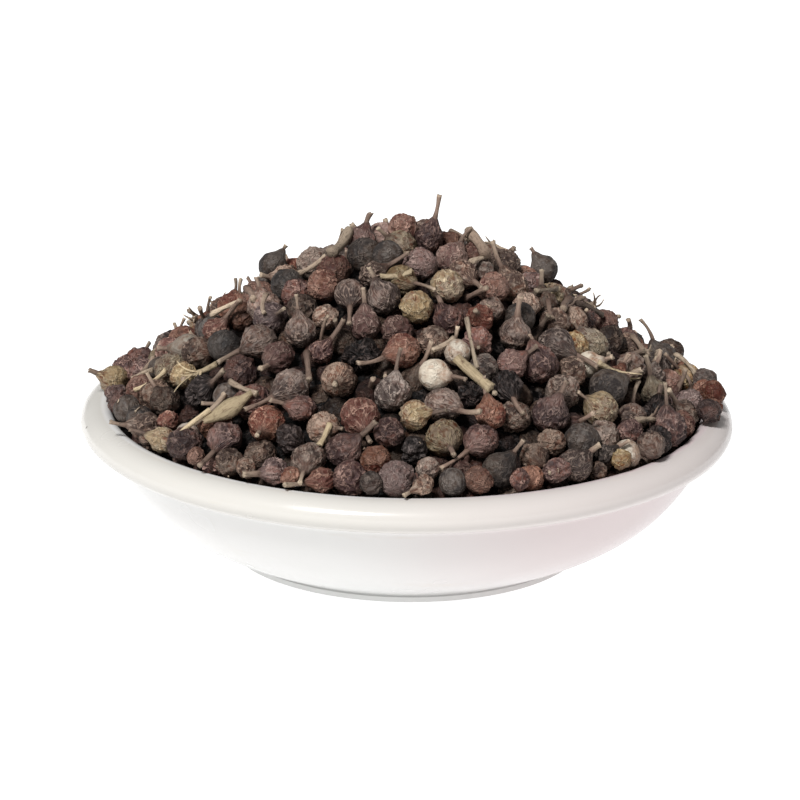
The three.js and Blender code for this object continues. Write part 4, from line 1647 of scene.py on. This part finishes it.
@dataclass
class BerryMaker:
    """Shapes a berry: a ball drawn out to its stalk, with folds, a net of ridges and hollows.

    Attributes:
        around: Points round the side that faces out of the heap.
        front: Rings there.
        back: Rings on the hidden side.
        front_reach: Where the hidden side starts, in radians from straight out.
        neck: How far a berry with a stalk is drawn out.
        lean: Which way the drawn-out end of a berry without a stalk tends to turn.
        squeeze: The range of its net's scale along the stalk's axis.
        seed_share: How many meshes the net has, as a share of those that fit.
        seed_jog: How unevenly they lie, as a share of their size.
        drift_down: How far the folds swing to the side on their way from the stalk, in radians.
        drift_round: How unevenly they stand round the stalk.
        fold_end: Where the folds begin to end, as a share of their reach.
        near_range: Where the lines turn from folds to net, as shares of that reach.
        oval: How flat a berry is, as a share of its lumps.
        shade: How many steps of tone the painted shade of a deep place takes away.
        shade_tint: How many steps of saturation that painted shade adds.
    """

    around: int
    front: int
    back: int
    front_reach: float = 1.75
    neck: float = 1.1
    neck_spread: float = 0.3
    stub: float = 0.35
    lean: Triple = (0, 0, -0.4)
    squeeze: Pair = (0.5, 0.85)
    swirl: float = 0.35
    swirl_turns: float = 2.2
    least_bold: float = 0.15
    bold_count: int = 997
    least_seeds: int = 12
    seed_share: float = 1.1
    seed_jog: float = 0.42
    mesh_slope: float = 0.4
    net_fade: float = 0.8
    drift_down: float = 0.35
    drift_round: float = 0.2
    drift_waves: tuple[int, int] = (3, 2)
    least_fold: float = 0.1
    fold_sharpness: int = 4
    fold_start: Pair = (0.08, 0.4)
    fold_end: float = 0.6
    near_range: Pair = (0.3, 0.9)
    lump_scale: float = 1.6
    lump_waves: int = 4
    lump_middle: float = 0.3
    oval: float = 0.8
    least_dent: float = 0.3
    dent_spread: float = 0.08
    blotch_scale: float = 1.3
    flow_along: float = 0.3
    relief_share: float = 0.8
    neck_range: Pair = (0.3, 0.95)
    stub_neck: float = 0.3
    stub_near: float = 0.6
    tone_spread: float = 0.8
    tone_range: Pair = (-1.4, 1.3)
    tint_range: Pair = (-1.3, 0.4)
    shade: float = 2.0
    shade_tint: float = 1.2

    def __post_init__(self) -> None:
        """Lays out the directions, dense on the side that shows."""
        near = self.front_reach * np.arange(1, self.front + 1) / self.front
        far = self.front_reach + (math.pi - self.front_reach) * np.arange(1, self.back + 1) / (self.back + 1)
        tilt = np.repeat(np.concatenate([near, far]), self.around)
        turn = np.tile(2 * math.pi * np.arange(self.around) / self.around, self.front + self.back)
        rings = np.stack([np.sin(tilt) * np.cos(turn), np.sin(tilt) * np.sin(turn), np.cos(tilt)], 1)
        self.ways = np.concatenate([[[0, 0, 1]], rings, [[0, 0, -1]]])
        self.grid = Grid(self.around, self.front + self.back)

    def shape(
        self, berry: Berry, outward: np.ndarray, relief: Relief, spread: float, rng: np.random.Generator
    ) -> Surface:
        """Shapes one berry.

        Args:
            berry: The berry.
            outward: The way out of the heap there.
            relief: How its kind is wrinkled.
            spread: How far its tone may be from its kind's.
            rng: The source of its own unevenness.

        Returns:
            Its points, and what its skin reads at each.
        """
        ways = self.ways @ frame_on(outward)
        has_stalk = berry.stalk is not None
        axis = unit(berry.stalk) if has_stalk else unit(rng.normal(size=3) + self.lean)
        own = ways @ frame_on(axis).T
        tilt = np.arccos(np.clip(own[:, 2], -1, 1))
        azimuth = np.arctan2(own[:, 1], own[:, 0])
        start, end = (relief.fold_reach * share for share in self.near_range)
        near_stalk = 1 - smooth(tilt, start, end)
        net, sunk = self._net(own, berry.radius, relief, rng)
        net = net * (1 - self.net_fade * near_stalk)
        folds = self._folds(tilt, azimuth, relief, rng)
        drawn = self.neck if has_stalk else self.stub * rng.uniform(0, 1)
        neck = np.exp(-((tilt / self.neck_spread) ** 2))
        radius = self._uneven_radius(ways, berry.radius, relief, rng)
        raised = relief.ridge * net + relief.fold * folds
        height = raised - relief.sink * sunk * (1 - near_stalk) + drawn * neck
        waves = rng.normal(size=(3, 3)) * self.blotch_scale
        patch = 0.5 + 0.5 * np.sin(ways @ waves.T + rng.uniform(*PHASES, 3)).mean(1)
        tone = spread * np.clip(rng.normal() * self.tone_spread, *self.tone_range)
        tint = spread * np.clip(rng.normal(), *self.tint_range)
        flow = np.stack([np.cos(azimuth), np.sin(azimuth), self.flow_along * tilt], 1)
        values = {
            "ridge": np.clip(self.relief_share * net + self.relief_share * folds, 0, 1),
            "patch": patch,
            "neck": smooth(neck, *self.neck_range) * (1.0 if has_stalk else self.stub_neck),
            "near": near_stalk * (1.0 if has_stalk else self.stub_near),
            # the berry's own tone, less painted shade where it lies deep; its own tint, fuller in that shade
            "tone": np.full(len(ways), tone - self.shade * berry.painted_shade),
            "tint": np.full(len(ways), tint + self.shade_tint * berry.painted_shade),
            "skin": own * berry.radius + rng.uniform(*ELSEWHERE, 3),
            "flow": flow * berry.radius + rng.uniform(*ELSEWHERE, 3),
        }
        return berry.middle + ways * (radius + height)[:, None], values

    def _net(
        self, own: np.ndarray, radius: float, relief: Relief, rng: np.random.Generator
    ) -> tuple[np.ndarray, np.ndarray]:
        """Lays a net of ridges over a berry.

        Args:
            own: The directions out of the berry, along its own axes.
            radius: Its radius.
            relief: How its kind is wrinkled.
            rng: The source of its own unevenness.

        Returns:
            How high the ridges are and how far the meshes have sunk, for each direction.
        """
        stretch = np.array([1.0, 1.0, rng.uniform(*self.squeeze)])
        swirl = np.sin(own @ rng.normal(size=(3, 3)) * self.swirl_turns + rng.uniform(*PHASES, 3))
        seeds = self._seeds(radius, relief.cell, rng)
        warped = (own * radius + self.swirl * relief.cell * swirl) * stretch
        edge, pair = self._edge_distance(warped, seeds * radius * stretch)
        bold = rng.uniform(self.least_bold, 1.0, self.bold_count)[pair % self.bold_count]
        net = bold * np.exp(-((edge / relief.line) ** 2))
        return net, np.clip(edge / (self.mesh_slope * relief.cell), 0, 1)

    def _folds(
        self, tilt: np.ndarray, azimuth: np.ndarray, relief: Relief, rng: np.random.Generator
    ) -> np.ndarray:
        """Lays folds round a berry that run to its stalk.

        Args:
            tilt: How far from the stalk each direction is.
            azimuth: How far round the stalk it is.
            relief: How its kind is wrinkled.
            rng: The source of its own unevenness.

        Returns:
            How high the folds are, for each direction.
        """
        down, beside = self.drift_waves
        drift = self.drift_down * np.sin(down * tilt + rng.uniform(*PHASES))
        drift = drift + self.drift_round * np.sin(beside * azimuth + rng.uniform(*PHASES))
        turns = relief.flutes * (azimuth + drift) / (2 * math.pi)
        bold = rng.uniform(self.least_fold, 1.0, relief.flutes)[np.round(turns).astype(int) % relief.flutes]
        fold = bold * np.abs(np.cos(math.pi * turns)) ** self.fold_sharpness
        end = smooth(tilt, relief.fold_reach * self.fold_end, relief.fold_reach)
        return fold * smooth(tilt, *self.fold_start) * (1 - end)

    def _uneven_radius(
        self, ways: np.ndarray, radius: float, relief: Relief, rng: np.random.Generator
    ) -> np.ndarray:
        """Makes a berry lumpy and a little oval, with hollows.

        Args:
            ways: The directions out of the berry.
            radius: Its radius.
            relief: How its kind is wrinkled.
            rng: The source of its own unevenness.

        Returns:
            The radius for each direction.
        """
        waves = rng.normal(size=(self.lump_waves, 3)) * self.lump_scale
        lumps = np.cos(ways @ waves.T + rng.uniform(*PHASES, self.lump_waves)).mean(1)
        across = ways @ unit(rng.normal(size=3))
        lumpy = 1 + relief.lumps * (lumps - self.lump_middle) - self.oval * relief.lumps * across * across
        uneven = radius * lumpy
        for _ in range(relief.dents):
            towards = ways @ unit(rng.normal(size=3))
            depth = relief.dent * radius * rng.uniform(self.least_dent, 1)
            uneven = uneven - depth * np.exp((towards - 1) / self.dent_spread)
        return uneven

    def _seeds(self, radius: float, cell: float, rng: np.random.Generator) -> np.ndarray:
        """Spreads the middles of the net's meshes over a ball.

        Args:
            radius: The ball's radius.
            cell: The size of a mesh.
            rng: The source of their unevenness.

        Returns:
            The middles, as directions.
        """
        count = max(self.least_seeds, round(4 * math.pi * radius * radius / (cell * cell) * self.seed_share))
        index = np.arange(count) + 0.5
        height = 1 - 2 * index / count
        turn = math.pi * (1 + math.sqrt(5)) * index
        flat = np.sqrt(1 - height * height)
        even = np.stack([flat * np.cos(turn), flat * np.sin(turn), height], 1)
        even = even @ frame_on(unit(rng.normal(size=3)))
        jogged = even + rng.normal(size=even.shape) * self.seed_jog * cell / radius
        return jogged / np.linalg.norm(jogged, axis=1)[:, None]

    def _edge_distance(self, points: np.ndarray, seeds: np.ndarray) -> tuple[np.ndarray, np.ndarray]:
        """Finds the line halfway between the two seeds nearest to each point.

        Args:
            points: The points.
            seeds: The seeds.

        Returns:
            Each point's distance to the line, and a number that names the line.
        """
        squares = ((points[:, None] - seeds[None]) ** 2).sum(2)
        rows = np.arange(len(points))
        near = squares.argmin(1)
        first = squares[rows, near]
        squares[rows, near] = np.inf
        next_near = squares.argmin(1)
        between = np.linalg.norm(seeds[near] - seeds[next_near], axis=1)
        distance = (squares[rows, next_near] - first) / (2 * between)
        return distance, near * next_near + near + next_near


@dataclass
class TubeMaker:
    """Shapes stalks and stems: bent tubes with a few grooves and a broken end.

    Attributes:
        twist: How far the grooves turn from base to tip, in radians.
        broken: How rough its broken end is, as a share of its radius.
        cap: How much paler its broken end is.
    """

    around: int = 10
    rings: int = 11
    grooves: int = 3
    groove: float = 0.08
    twist: float = 2.0
    bend: float = 0.1
    least_bend: float = 0.2
    waver: float = 0.08
    waver_turns: float = 9.0
    broken: float = 0.25
    pale_spread: float = 0.25
    tone_spread: float = 0.5
    cap: float = 0.45
    cap_from: float = 0.99

    def __post_init__(self) -> None:
        """Joins the points from the tip to the base."""
        self.grid = Grid(self.around, self.rings)

    def shape(
        self,
        start: np.ndarray,
        end: np.ndarray,
        radii: Sequence[float],
        pale: float,
        rng: np.random.Generator,
        reach: Pair = (-0.6, 0.2),
    ) -> Surface:
        """Shapes one tube.

        Args:
            start: Its base.
            end: Its tip.
            radii: Its radius at even steps from base to tip.
            pale: How pale it is, from 0 to 1.
            rng: The source of its own unevenness.
            reach: Where along it the paleness starts and where it is full.

        Returns:
            Its points, and what its bark reads at each.
        """
        run = end - start
        length = math.sqrt(float(run @ run))
        axes = frame_on(run / length)
        shares = np.linspace(1, 0, self.rings)
        aside = rng.normal(size=2)
        aside = aside / np.linalg.norm(aside) * self.bend * length * rng.uniform(self.least_bend, 1)
        bow = 4 * shares * (1 - shares)
        spine = start + run * shares[:, None] + (aside @ axes[:2]) * bow[:, None]
        widths = np.interp(shares, np.linspace(0, 1, len(radii)), radii)
        widths = widths * (1 + self.waver * np.sin(shares * self.waver_turns + rng.uniform(*PHASES)))
        turn = 2 * math.pi * np.arange(self.around) / self.around
        phase = rng.uniform(*PHASES)
        rim = 1 + self.groove * np.cos(self.grooves * turn[None] + phase + self.twist * shares[:, None])
        ring = np.cos(turn)[None, :, None] * axes[0] + np.sin(turn)[None, :, None] * axes[1]
        points = spine[:, None] + ring * (widths[:, None] * rim)[..., None]
        points[0] += axes[2] * rng.normal(size=(self.around, 1)) * self.broken * widths[0]
        placed = np.concatenate([[spine[0]], points.reshape(-1, 3), [spine[-1]]])
        along = np.concatenate([[1], np.repeat(shares, self.around), [0]])
        full = np.clip(rng.normal() * self.pale_spread + pale, 0, 1)
        values = {
            "along": along,
            "pale": full * smooth(along, *reach) + self.cap * (along > self.cap_from),
            "tone": np.full(len(placed), rng.normal() * self.tone_spread),
            "skin": (placed - start) @ axes.T + rng.uniform(*ELSEWHERE, 3),
        }
        return placed, values


@dataclass
class Berries:
    """Both layers of berries.

    Attributes:
        fine: What shapes the outer ones.
        plain: What shapes those of the second layer.
        under_kinds: The kinds of the second layer, in turn.
        steady: How much of its kind's spread of tones a placed or a deep berry has.
    """

    heap: Heap
    seed: int
    fine: BerryMaker = field(default_factory=lambda: BerryMaker(around=44, front=22, back=4))
    plain: BerryMaker = field(default_factory=lambda: BerryMaker(around=20, front=9, back=2))
    under_kinds: tuple[Kind, ...] = (Kind.NETTED, Kind.PURPLE)
    steady: float = 0.3

    def build(self, outer: list[Berry], under: list[Berry]) -> None:
        """Makes one piece for each kind of outer berry, and one for each of the second layer.

        Args:
            outer: The berries of the outer layer.
            under: The berries of the second layer.
        """
        materials = {kind: skin.material(f"{kind.value}_skin") for kind, skin in SKINS.items()}
        for kind in Kind:
            pile = Pile(f"{kind.value}_berries")
            for index, berry in enumerate(outer):
                if berry.kind is kind:
                    pile.add(self.fine.grid, *self._shaped(self.fine, berry, index))
            pile.build(materials[kind], BERRY_SLOT, HEAP_NODE)
        for which, kind in enumerate(self.under_kinds):
            pile = Pile(f"under_{kind.value}_berries")
            for index, berry in enumerate(under):
                if index % len(self.under_kinds) == which:
                    berry.kind = kind
                    pile.add(self.plain.grid, *self._shaped(self.plain, berry, len(outer) + index))
            pile.build(materials[kind], BERRY_SLOT, HEAP_NODE)

    def _shaped(self, maker: BerryMaker, berry: Berry, index: int) -> Surface:
        """Shapes a berry from its own seed.

        Args:
            maker: What shapes it.
            berry: The berry.
            index: Its number. The listed berries come first.

        Returns:
            Its points, and what its skin reads at each.
        """
        rng = np.random.default_rng((self.seed, index))
        outward = self.heap.outward(berry.middle)
        spread = self.steady if index < len(NOTABLE) or maker is self.plain else 1.0
        return maker.shape(berry, outward, RELIEFS[berry.kind], spread, rng)


@dataclass
class Twigs:
    """The stalks on the berries, and the loose stems and chaff that lie on them.

    Attributes:
        stalk_reach: Where along a stalk it gets paler, from start to full.
        extra_stems: How many stems are strewn besides the frame's.
        straw_from: How pale a stem is that belongs to the straw-coloured piece.
        thread_foot: Where along a spray its threads start.
        flake_size: The range of half a flake's length.
        flake_lift: How far a flake lies over the berry's skin, as a share of its size.
    """

    heap: Heap
    seed: int
    tube: TubeMaker = field(default_factory=TubeMaker)
    thread: TubeMaker = field(default_factory=lambda: TubeMaker(around=6, rings=5, bend=0.16))
    stalk_widths: tuple[float, ...] = (1.5, 1.0, 0.82, 0.76, 0.78, 0.92)
    stalk_spread: Pair = (0.65, 1.15)
    stalk_foot: float = 0.9
    stalk_pale: float = 0.2
    stalk_reach: Pair = (0.25, 1.0)
    extra_stems: int = 16
    straw_from: float = 0.65
    threads: int = 9
    thread_foot: Pair = (0.45, 0.95)
    thread_length: Pair = (0.25, 0.6)
    thread_aside: float = 0.5
    thread_widths: tuple[float, ...] = (0.5, 0.4, 0.34, 0.2)
    thread_most: float = 0.6
    flakes: int = 40
    flake_size: Pair = (0.15, 0.5)
    flake_tilt: float = 0.45
    flake_lift: float = 0.1
    flake_widths: Pair = (0.15, 0.8)
    flake_share: float = 0.7
    flake_pale: float = 0.5

    def build(self, outer: list[Berry], under: list[Berry]) -> None:
        """Makes the stalks, the stems and the chaff.

        Args:
            outer: The berries of the outer layer, which stems and chaff lie on.
            under: The berries of the second layer.
        """
        bark = BARK.material("bark")
        self._stalks(outer + under, bark)
        self._stems(outer, bark)
        self._chaff(outer, bark)

    def _stalks(self, berries: list[Berry], bark: bpy.types.Material) -> None:
        """Makes the stalks of all berries as one piece.

        Args:
            berries: The berries.
            bark: The stalks' finish.
        """
        pile = Pile("stalks")
        widths = np.array(self.stalk_widths) * self.heap.stalks.thick
        for index, berry in enumerate(berries):
            if berry.stalk is None:
                continue
            rng = np.random.default_rng((self.seed + 1, index))
            reach = math.sqrt(float(berry.stalk @ berry.stalk))
            start = berry.middle + berry.stalk * (berry.radius * self.stalk_foot / reach)
            end = berry.middle + berry.stalk
            radii = widths * rng.uniform(*self.stalk_spread)
            stalk = self.tube.shape(start, end, radii, self.stalk_pale, rng, self.stalk_reach)
            pile.add(self.tube.grid, *stalk)
        pile.build(bark, BERRY_SLOT, HEAP_NODE)

    def _stems(self, berries: list[Berry], bark: bpy.types.Material) -> None:
        """Makes the loose stems, the pale ones as a piece of their own.

        Args:
            berries: The berries that they lie on.
            bark: The finish of the others.
        """
        dark, straw = Pile("loose_stems"), Pile("straw_stems")
        bed = Bed(self.heap, berries)
        stems = STEMS + self.heap.strewn_stems(self.extra_stems)
        for index, stem in enumerate(stems):
            rng = np.random.default_rng((self.seed + 2, index))
            start, end = bed.lay(stem)
            radii = np.array(stem.form.value) * stem.thick
            pile = straw if stem.pale > self.straw_from else dark
            pile.add(self.tube.grid, *self.tube.shape(start, end, radii, stem.pale, rng))
            if stem.form is Form.SPRAY:
                self._threads(pile, start, end, stem, rng)
        dark.build(bark, BERRY_SLOT, HEAP_NODE)
        straw.build(STRAW_BARK.material("straw_bark"), BERRY_SLOT, HEAP_NODE)

    def _threads(
        self, pile: Pile, start: np.ndarray, end: np.ndarray, stem: Stem, rng: np.random.Generator
    ) -> None:
        """Adds the torn threads at a spray's end.

        Args:
            pile: What they are added to.
            start: The stem's base.
            end: Its tip.
            stem: The stem.
            rng: The source of their unevenness.
        """
        run = end - start
        length = math.sqrt(float(run @ run))
        axes = frame_on(run / length)
        radii = np.array(self.thread_widths) * min(stem.thick, self.thread_most)
        for _ in range(self.threads):
            foot = start + run * rng.uniform(*self.thread_foot)
            aside = rng.normal(size=2) * self.thread_aside
            tip = foot + (axes[2] + aside @ axes[:2]) * length * rng.uniform(*self.thread_length)
            pile.add(self.thread.grid, *self.thread.shape(foot, tip, radii, stem.pale, rng))

    def _chaff(self, berries: list[Berry], bark: bpy.types.Material) -> None:
        """Makes the flakes of skin and stalk.

        Args:
            berries: The berries that they lie on.
            bark: Their finish.
        """
        pile = Pile("chaff")
        rng = np.random.default_rng(self.seed + 3)
        for _ in range(self.flakes):
            berry = berries[rng.integers(len(berries))]
            up = unit(self.heap.outward(berry.middle) + rng.normal(size=3) * self.flake_tilt)
            size = rng.uniform(*self.flake_size)
            foot = berry.middle + up * (berry.radius + self.flake_lift * size)
            way = unit(np.cross(up, rng.normal(size=3)))
            radii = rng.uniform(*self.flake_widths, 4) * size * self.flake_share
            start, end = foot - way * size, foot + way * size
            pile.add(self.thread.grid, *self.thread.shape(start, end, radii, self.flake_pale, rng))
        pile.build(bark, BERRY_SLOT, HEAP_NODE)


@dataclass(frozen=True)
class Core:
    """The body under the berries, dark with painted shade.

    Attributes:
        depth: How far its top lies under the heap's surface.
        dome: Where the dome's first and last rings are, from the middle.
        wall_top: How high it follows the wall.
        tone: How much painted shade darkens it, in steps of tone.
    """

    heap: Heap
    depth: float = 6.2
    gap: float = 0.3
    around: int = 72
    dome: Pair = (2.0, 38.0)
    dome_rings: int = 19
    wall_steps: int = 16
    crest_steps: int = 3
    wall_top: float = 19.0
    tone: float = -1.5

    def build(self) -> bpy.types.Object:
        """Makes the core.

        Returns:
            The core.
        """
        heap = self.heap
        wall = reversed(heap.bowl.inner_wall(self.wall_steps, self.crest_steps))
        under = [(r - self.gap, z + self.gap) for r, z in wall if z < self.wall_top]
        dome = np.linspace(*self.dome, self.dome_rings)
        profile = [(0.0, heap.surface(0) - self.depth)]
        profile += [(r, heap.surface(r) - self.depth) for r in dome]
        profile += list(reversed(under))
        profile += [(0.0, heap.bowl.floor_height + self.gap)]
        points = rings_of(profile, self.around)
        values = {name: np.zeros(len(points)) for name in ("ridge", "patch", "neck", "near", "tint")}
        values |= {"skin": points, "flow": points, "tone": np.full(len(points), self.tone)}
        pile = Pile("heap_core")
        pile.add(Grid(self.around, len(profile) - 2), points, values)
        # the shrivelled skin, darkened further: painted shade for the depths of the heap
        return pile.build(SKINS[Kind.SHRIVELLED].material("core_skin"), BERRY_SLOT, HEAP_NODE)


@dataclass
class Contents:
    """Everything in the bowl: two layers of berries, stalks, loose stems, chaff and the core.

    Attributes:
        deep_from: How deep a berry near the rim lies that belongs to the second layer.
    """

    heap: Heap
    seed: int = 5
    deep_from: float = 2.7

    def build(self) -> None:
        """Makes every piece."""
        outer, under = self._layers()
        Berries(self.heap, self.seed).build(outer, under)
        Twigs(self.heap, self.seed).build(outer, under)
        Core(self.heap).build()

    def _layers(self) -> tuple[list[Berry], list[Berry]]:
        """Fills the heap with berries and gives each its kind.

        Returns:
            The berries of the outer layer and those of the second.
        """
        heap = self.heap
        heap.more_stalks(self.seed)
        edge = heap.edge_berries()
        outer = heap.notable + heap.strewn + edge
        rng = np.random.default_rng(self.seed)
        kinds = list(SHARES)
        drawn = rng.choice(len(kinds), size=len(outer), p=np.array(list(SHARES.values())))
        for berry, index in list(zip(outer, drawn))[len(heap.notable) :]:
            berry.kind = kinds[index]
        under = [berry for berry in edge if berry.depth > self.deep_from] + heap.under_berries()
        return [berry for berry in outer if berry.depth <= self.deep_from], under


# ---------------- the stage


@dataclass(frozen=True)
class Studio:
    """A white floor, soft light and the camera.

    Attributes:
        elevation: How steeply it looks down, in degrees.
        key_angle: How wide the key light is, in degrees.
    """

    aim: Triple = (-1.06, 0.0, 22.64)
    distance: float = 500.0
    elevation: float = 17.5
    roll: float = 0.65  # about its own axis, in degrees
    focal: float = 146.25
    sensor: float = 36.0
    clip: Pair = (0.01, 20.0)  # the nearest and furthest that it sees, in metres
    floor_size: float = 6000.0
    floor_white: Colour = paint(160, 160, 160)
    floor_rough: float = 0.9
    floor_glow: float = 0.92
    world_strength: float = 0.23
    key_strength: float = 3.75
    key_angle: float = 14.0
    key_way: Triple = (-0.36, -0.74, 0.97)

    def build(self) -> None:
        """Makes the floor, the light and the camera."""
        self._floor()
        self._light()
        self._camera()
        bpy.context.scene.view_settings.view_transform = "Standard"

    def _floor(self) -> None:
        """Makes the white floor."""
        half = self.floor_size / 2 * MM
        corners = [(-half, -half, 0), (half, -half, 0), (half, half, 0), (-half, half, 0)]
        mesh = bpy.data.meshes.new("floor")
        mesh.from_pydata(corners, [], [(0, 1, 2, 3)])
        floor = bpy.data.objects.new("floor", mesh)
        bpy.context.scene.collection.objects.link(floor)
        shader = Shader("floor_white")
        glow = {"Emission Color": WHITE, "Emission Strength": self.floor_glow}
        dull = {"Base Color": self.floor_white, "Roughness": self.floor_rough, "Specular IOR Level": 0.0}
        shader.finish(dull | glow)
        mesh.materials.append(shader.material)

    def _light(self) -> None:
        """Makes the white surroundings and one soft key light."""
        world = bpy.data.worlds.new("studio")
        world.use_nodes = True
        background = world.node_tree.nodes["Background"]
        background.inputs["Color"].default_value = WHITE
        background.inputs["Strength"].default_value = self.world_strength
        bpy.context.scene.world = world
        key = bpy.data.lights.new("key", "SUN")
        key.energy = self.key_strength
        key.angle = math.radians(self.key_angle)
        lamp = bpy.data.objects.new("key", key)
        lamp.rotation_euler = Vector(self.key_way).to_track_quat("Z", "Y").to_euler()
        bpy.context.scene.collection.objects.link(lamp)

    def _camera(self) -> None:
        """Makes the camera."""
        camera = bpy.data.cameras.new("camera")
        camera.lens = self.focal
        camera.sensor_width = self.sensor
        camera.clip_start, camera.clip_end = self.clip
        holder = bpy.data.objects.new("camera", camera)
        bpy.context.scene.collection.objects.link(holder)
        tilt = math.radians(self.elevation)
        back = Vector((0, -math.cos(tilt), math.sin(tilt)))
        look = back.to_track_quat("Z", "Y").to_matrix().to_4x4()
        place = Matrix.Translation((Vector(self.aim) + back * self.distance) * MM)
        holder.matrix_world = place @ look @ Matrix.Rotation(math.radians(self.roll), 4, "Z")
        bpy.context.scene.camera = holder


def main() -> None:
    """Dresses the frame."""
    logging.basicConfig(level=logging.INFO, format="%(message)s")
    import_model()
    bowl = Bowl()
    bowl.build()
    heap = Heap(bowl)
    Contents(heap).build()
    Studio().build()


if __name__ == "__main__":
    main()
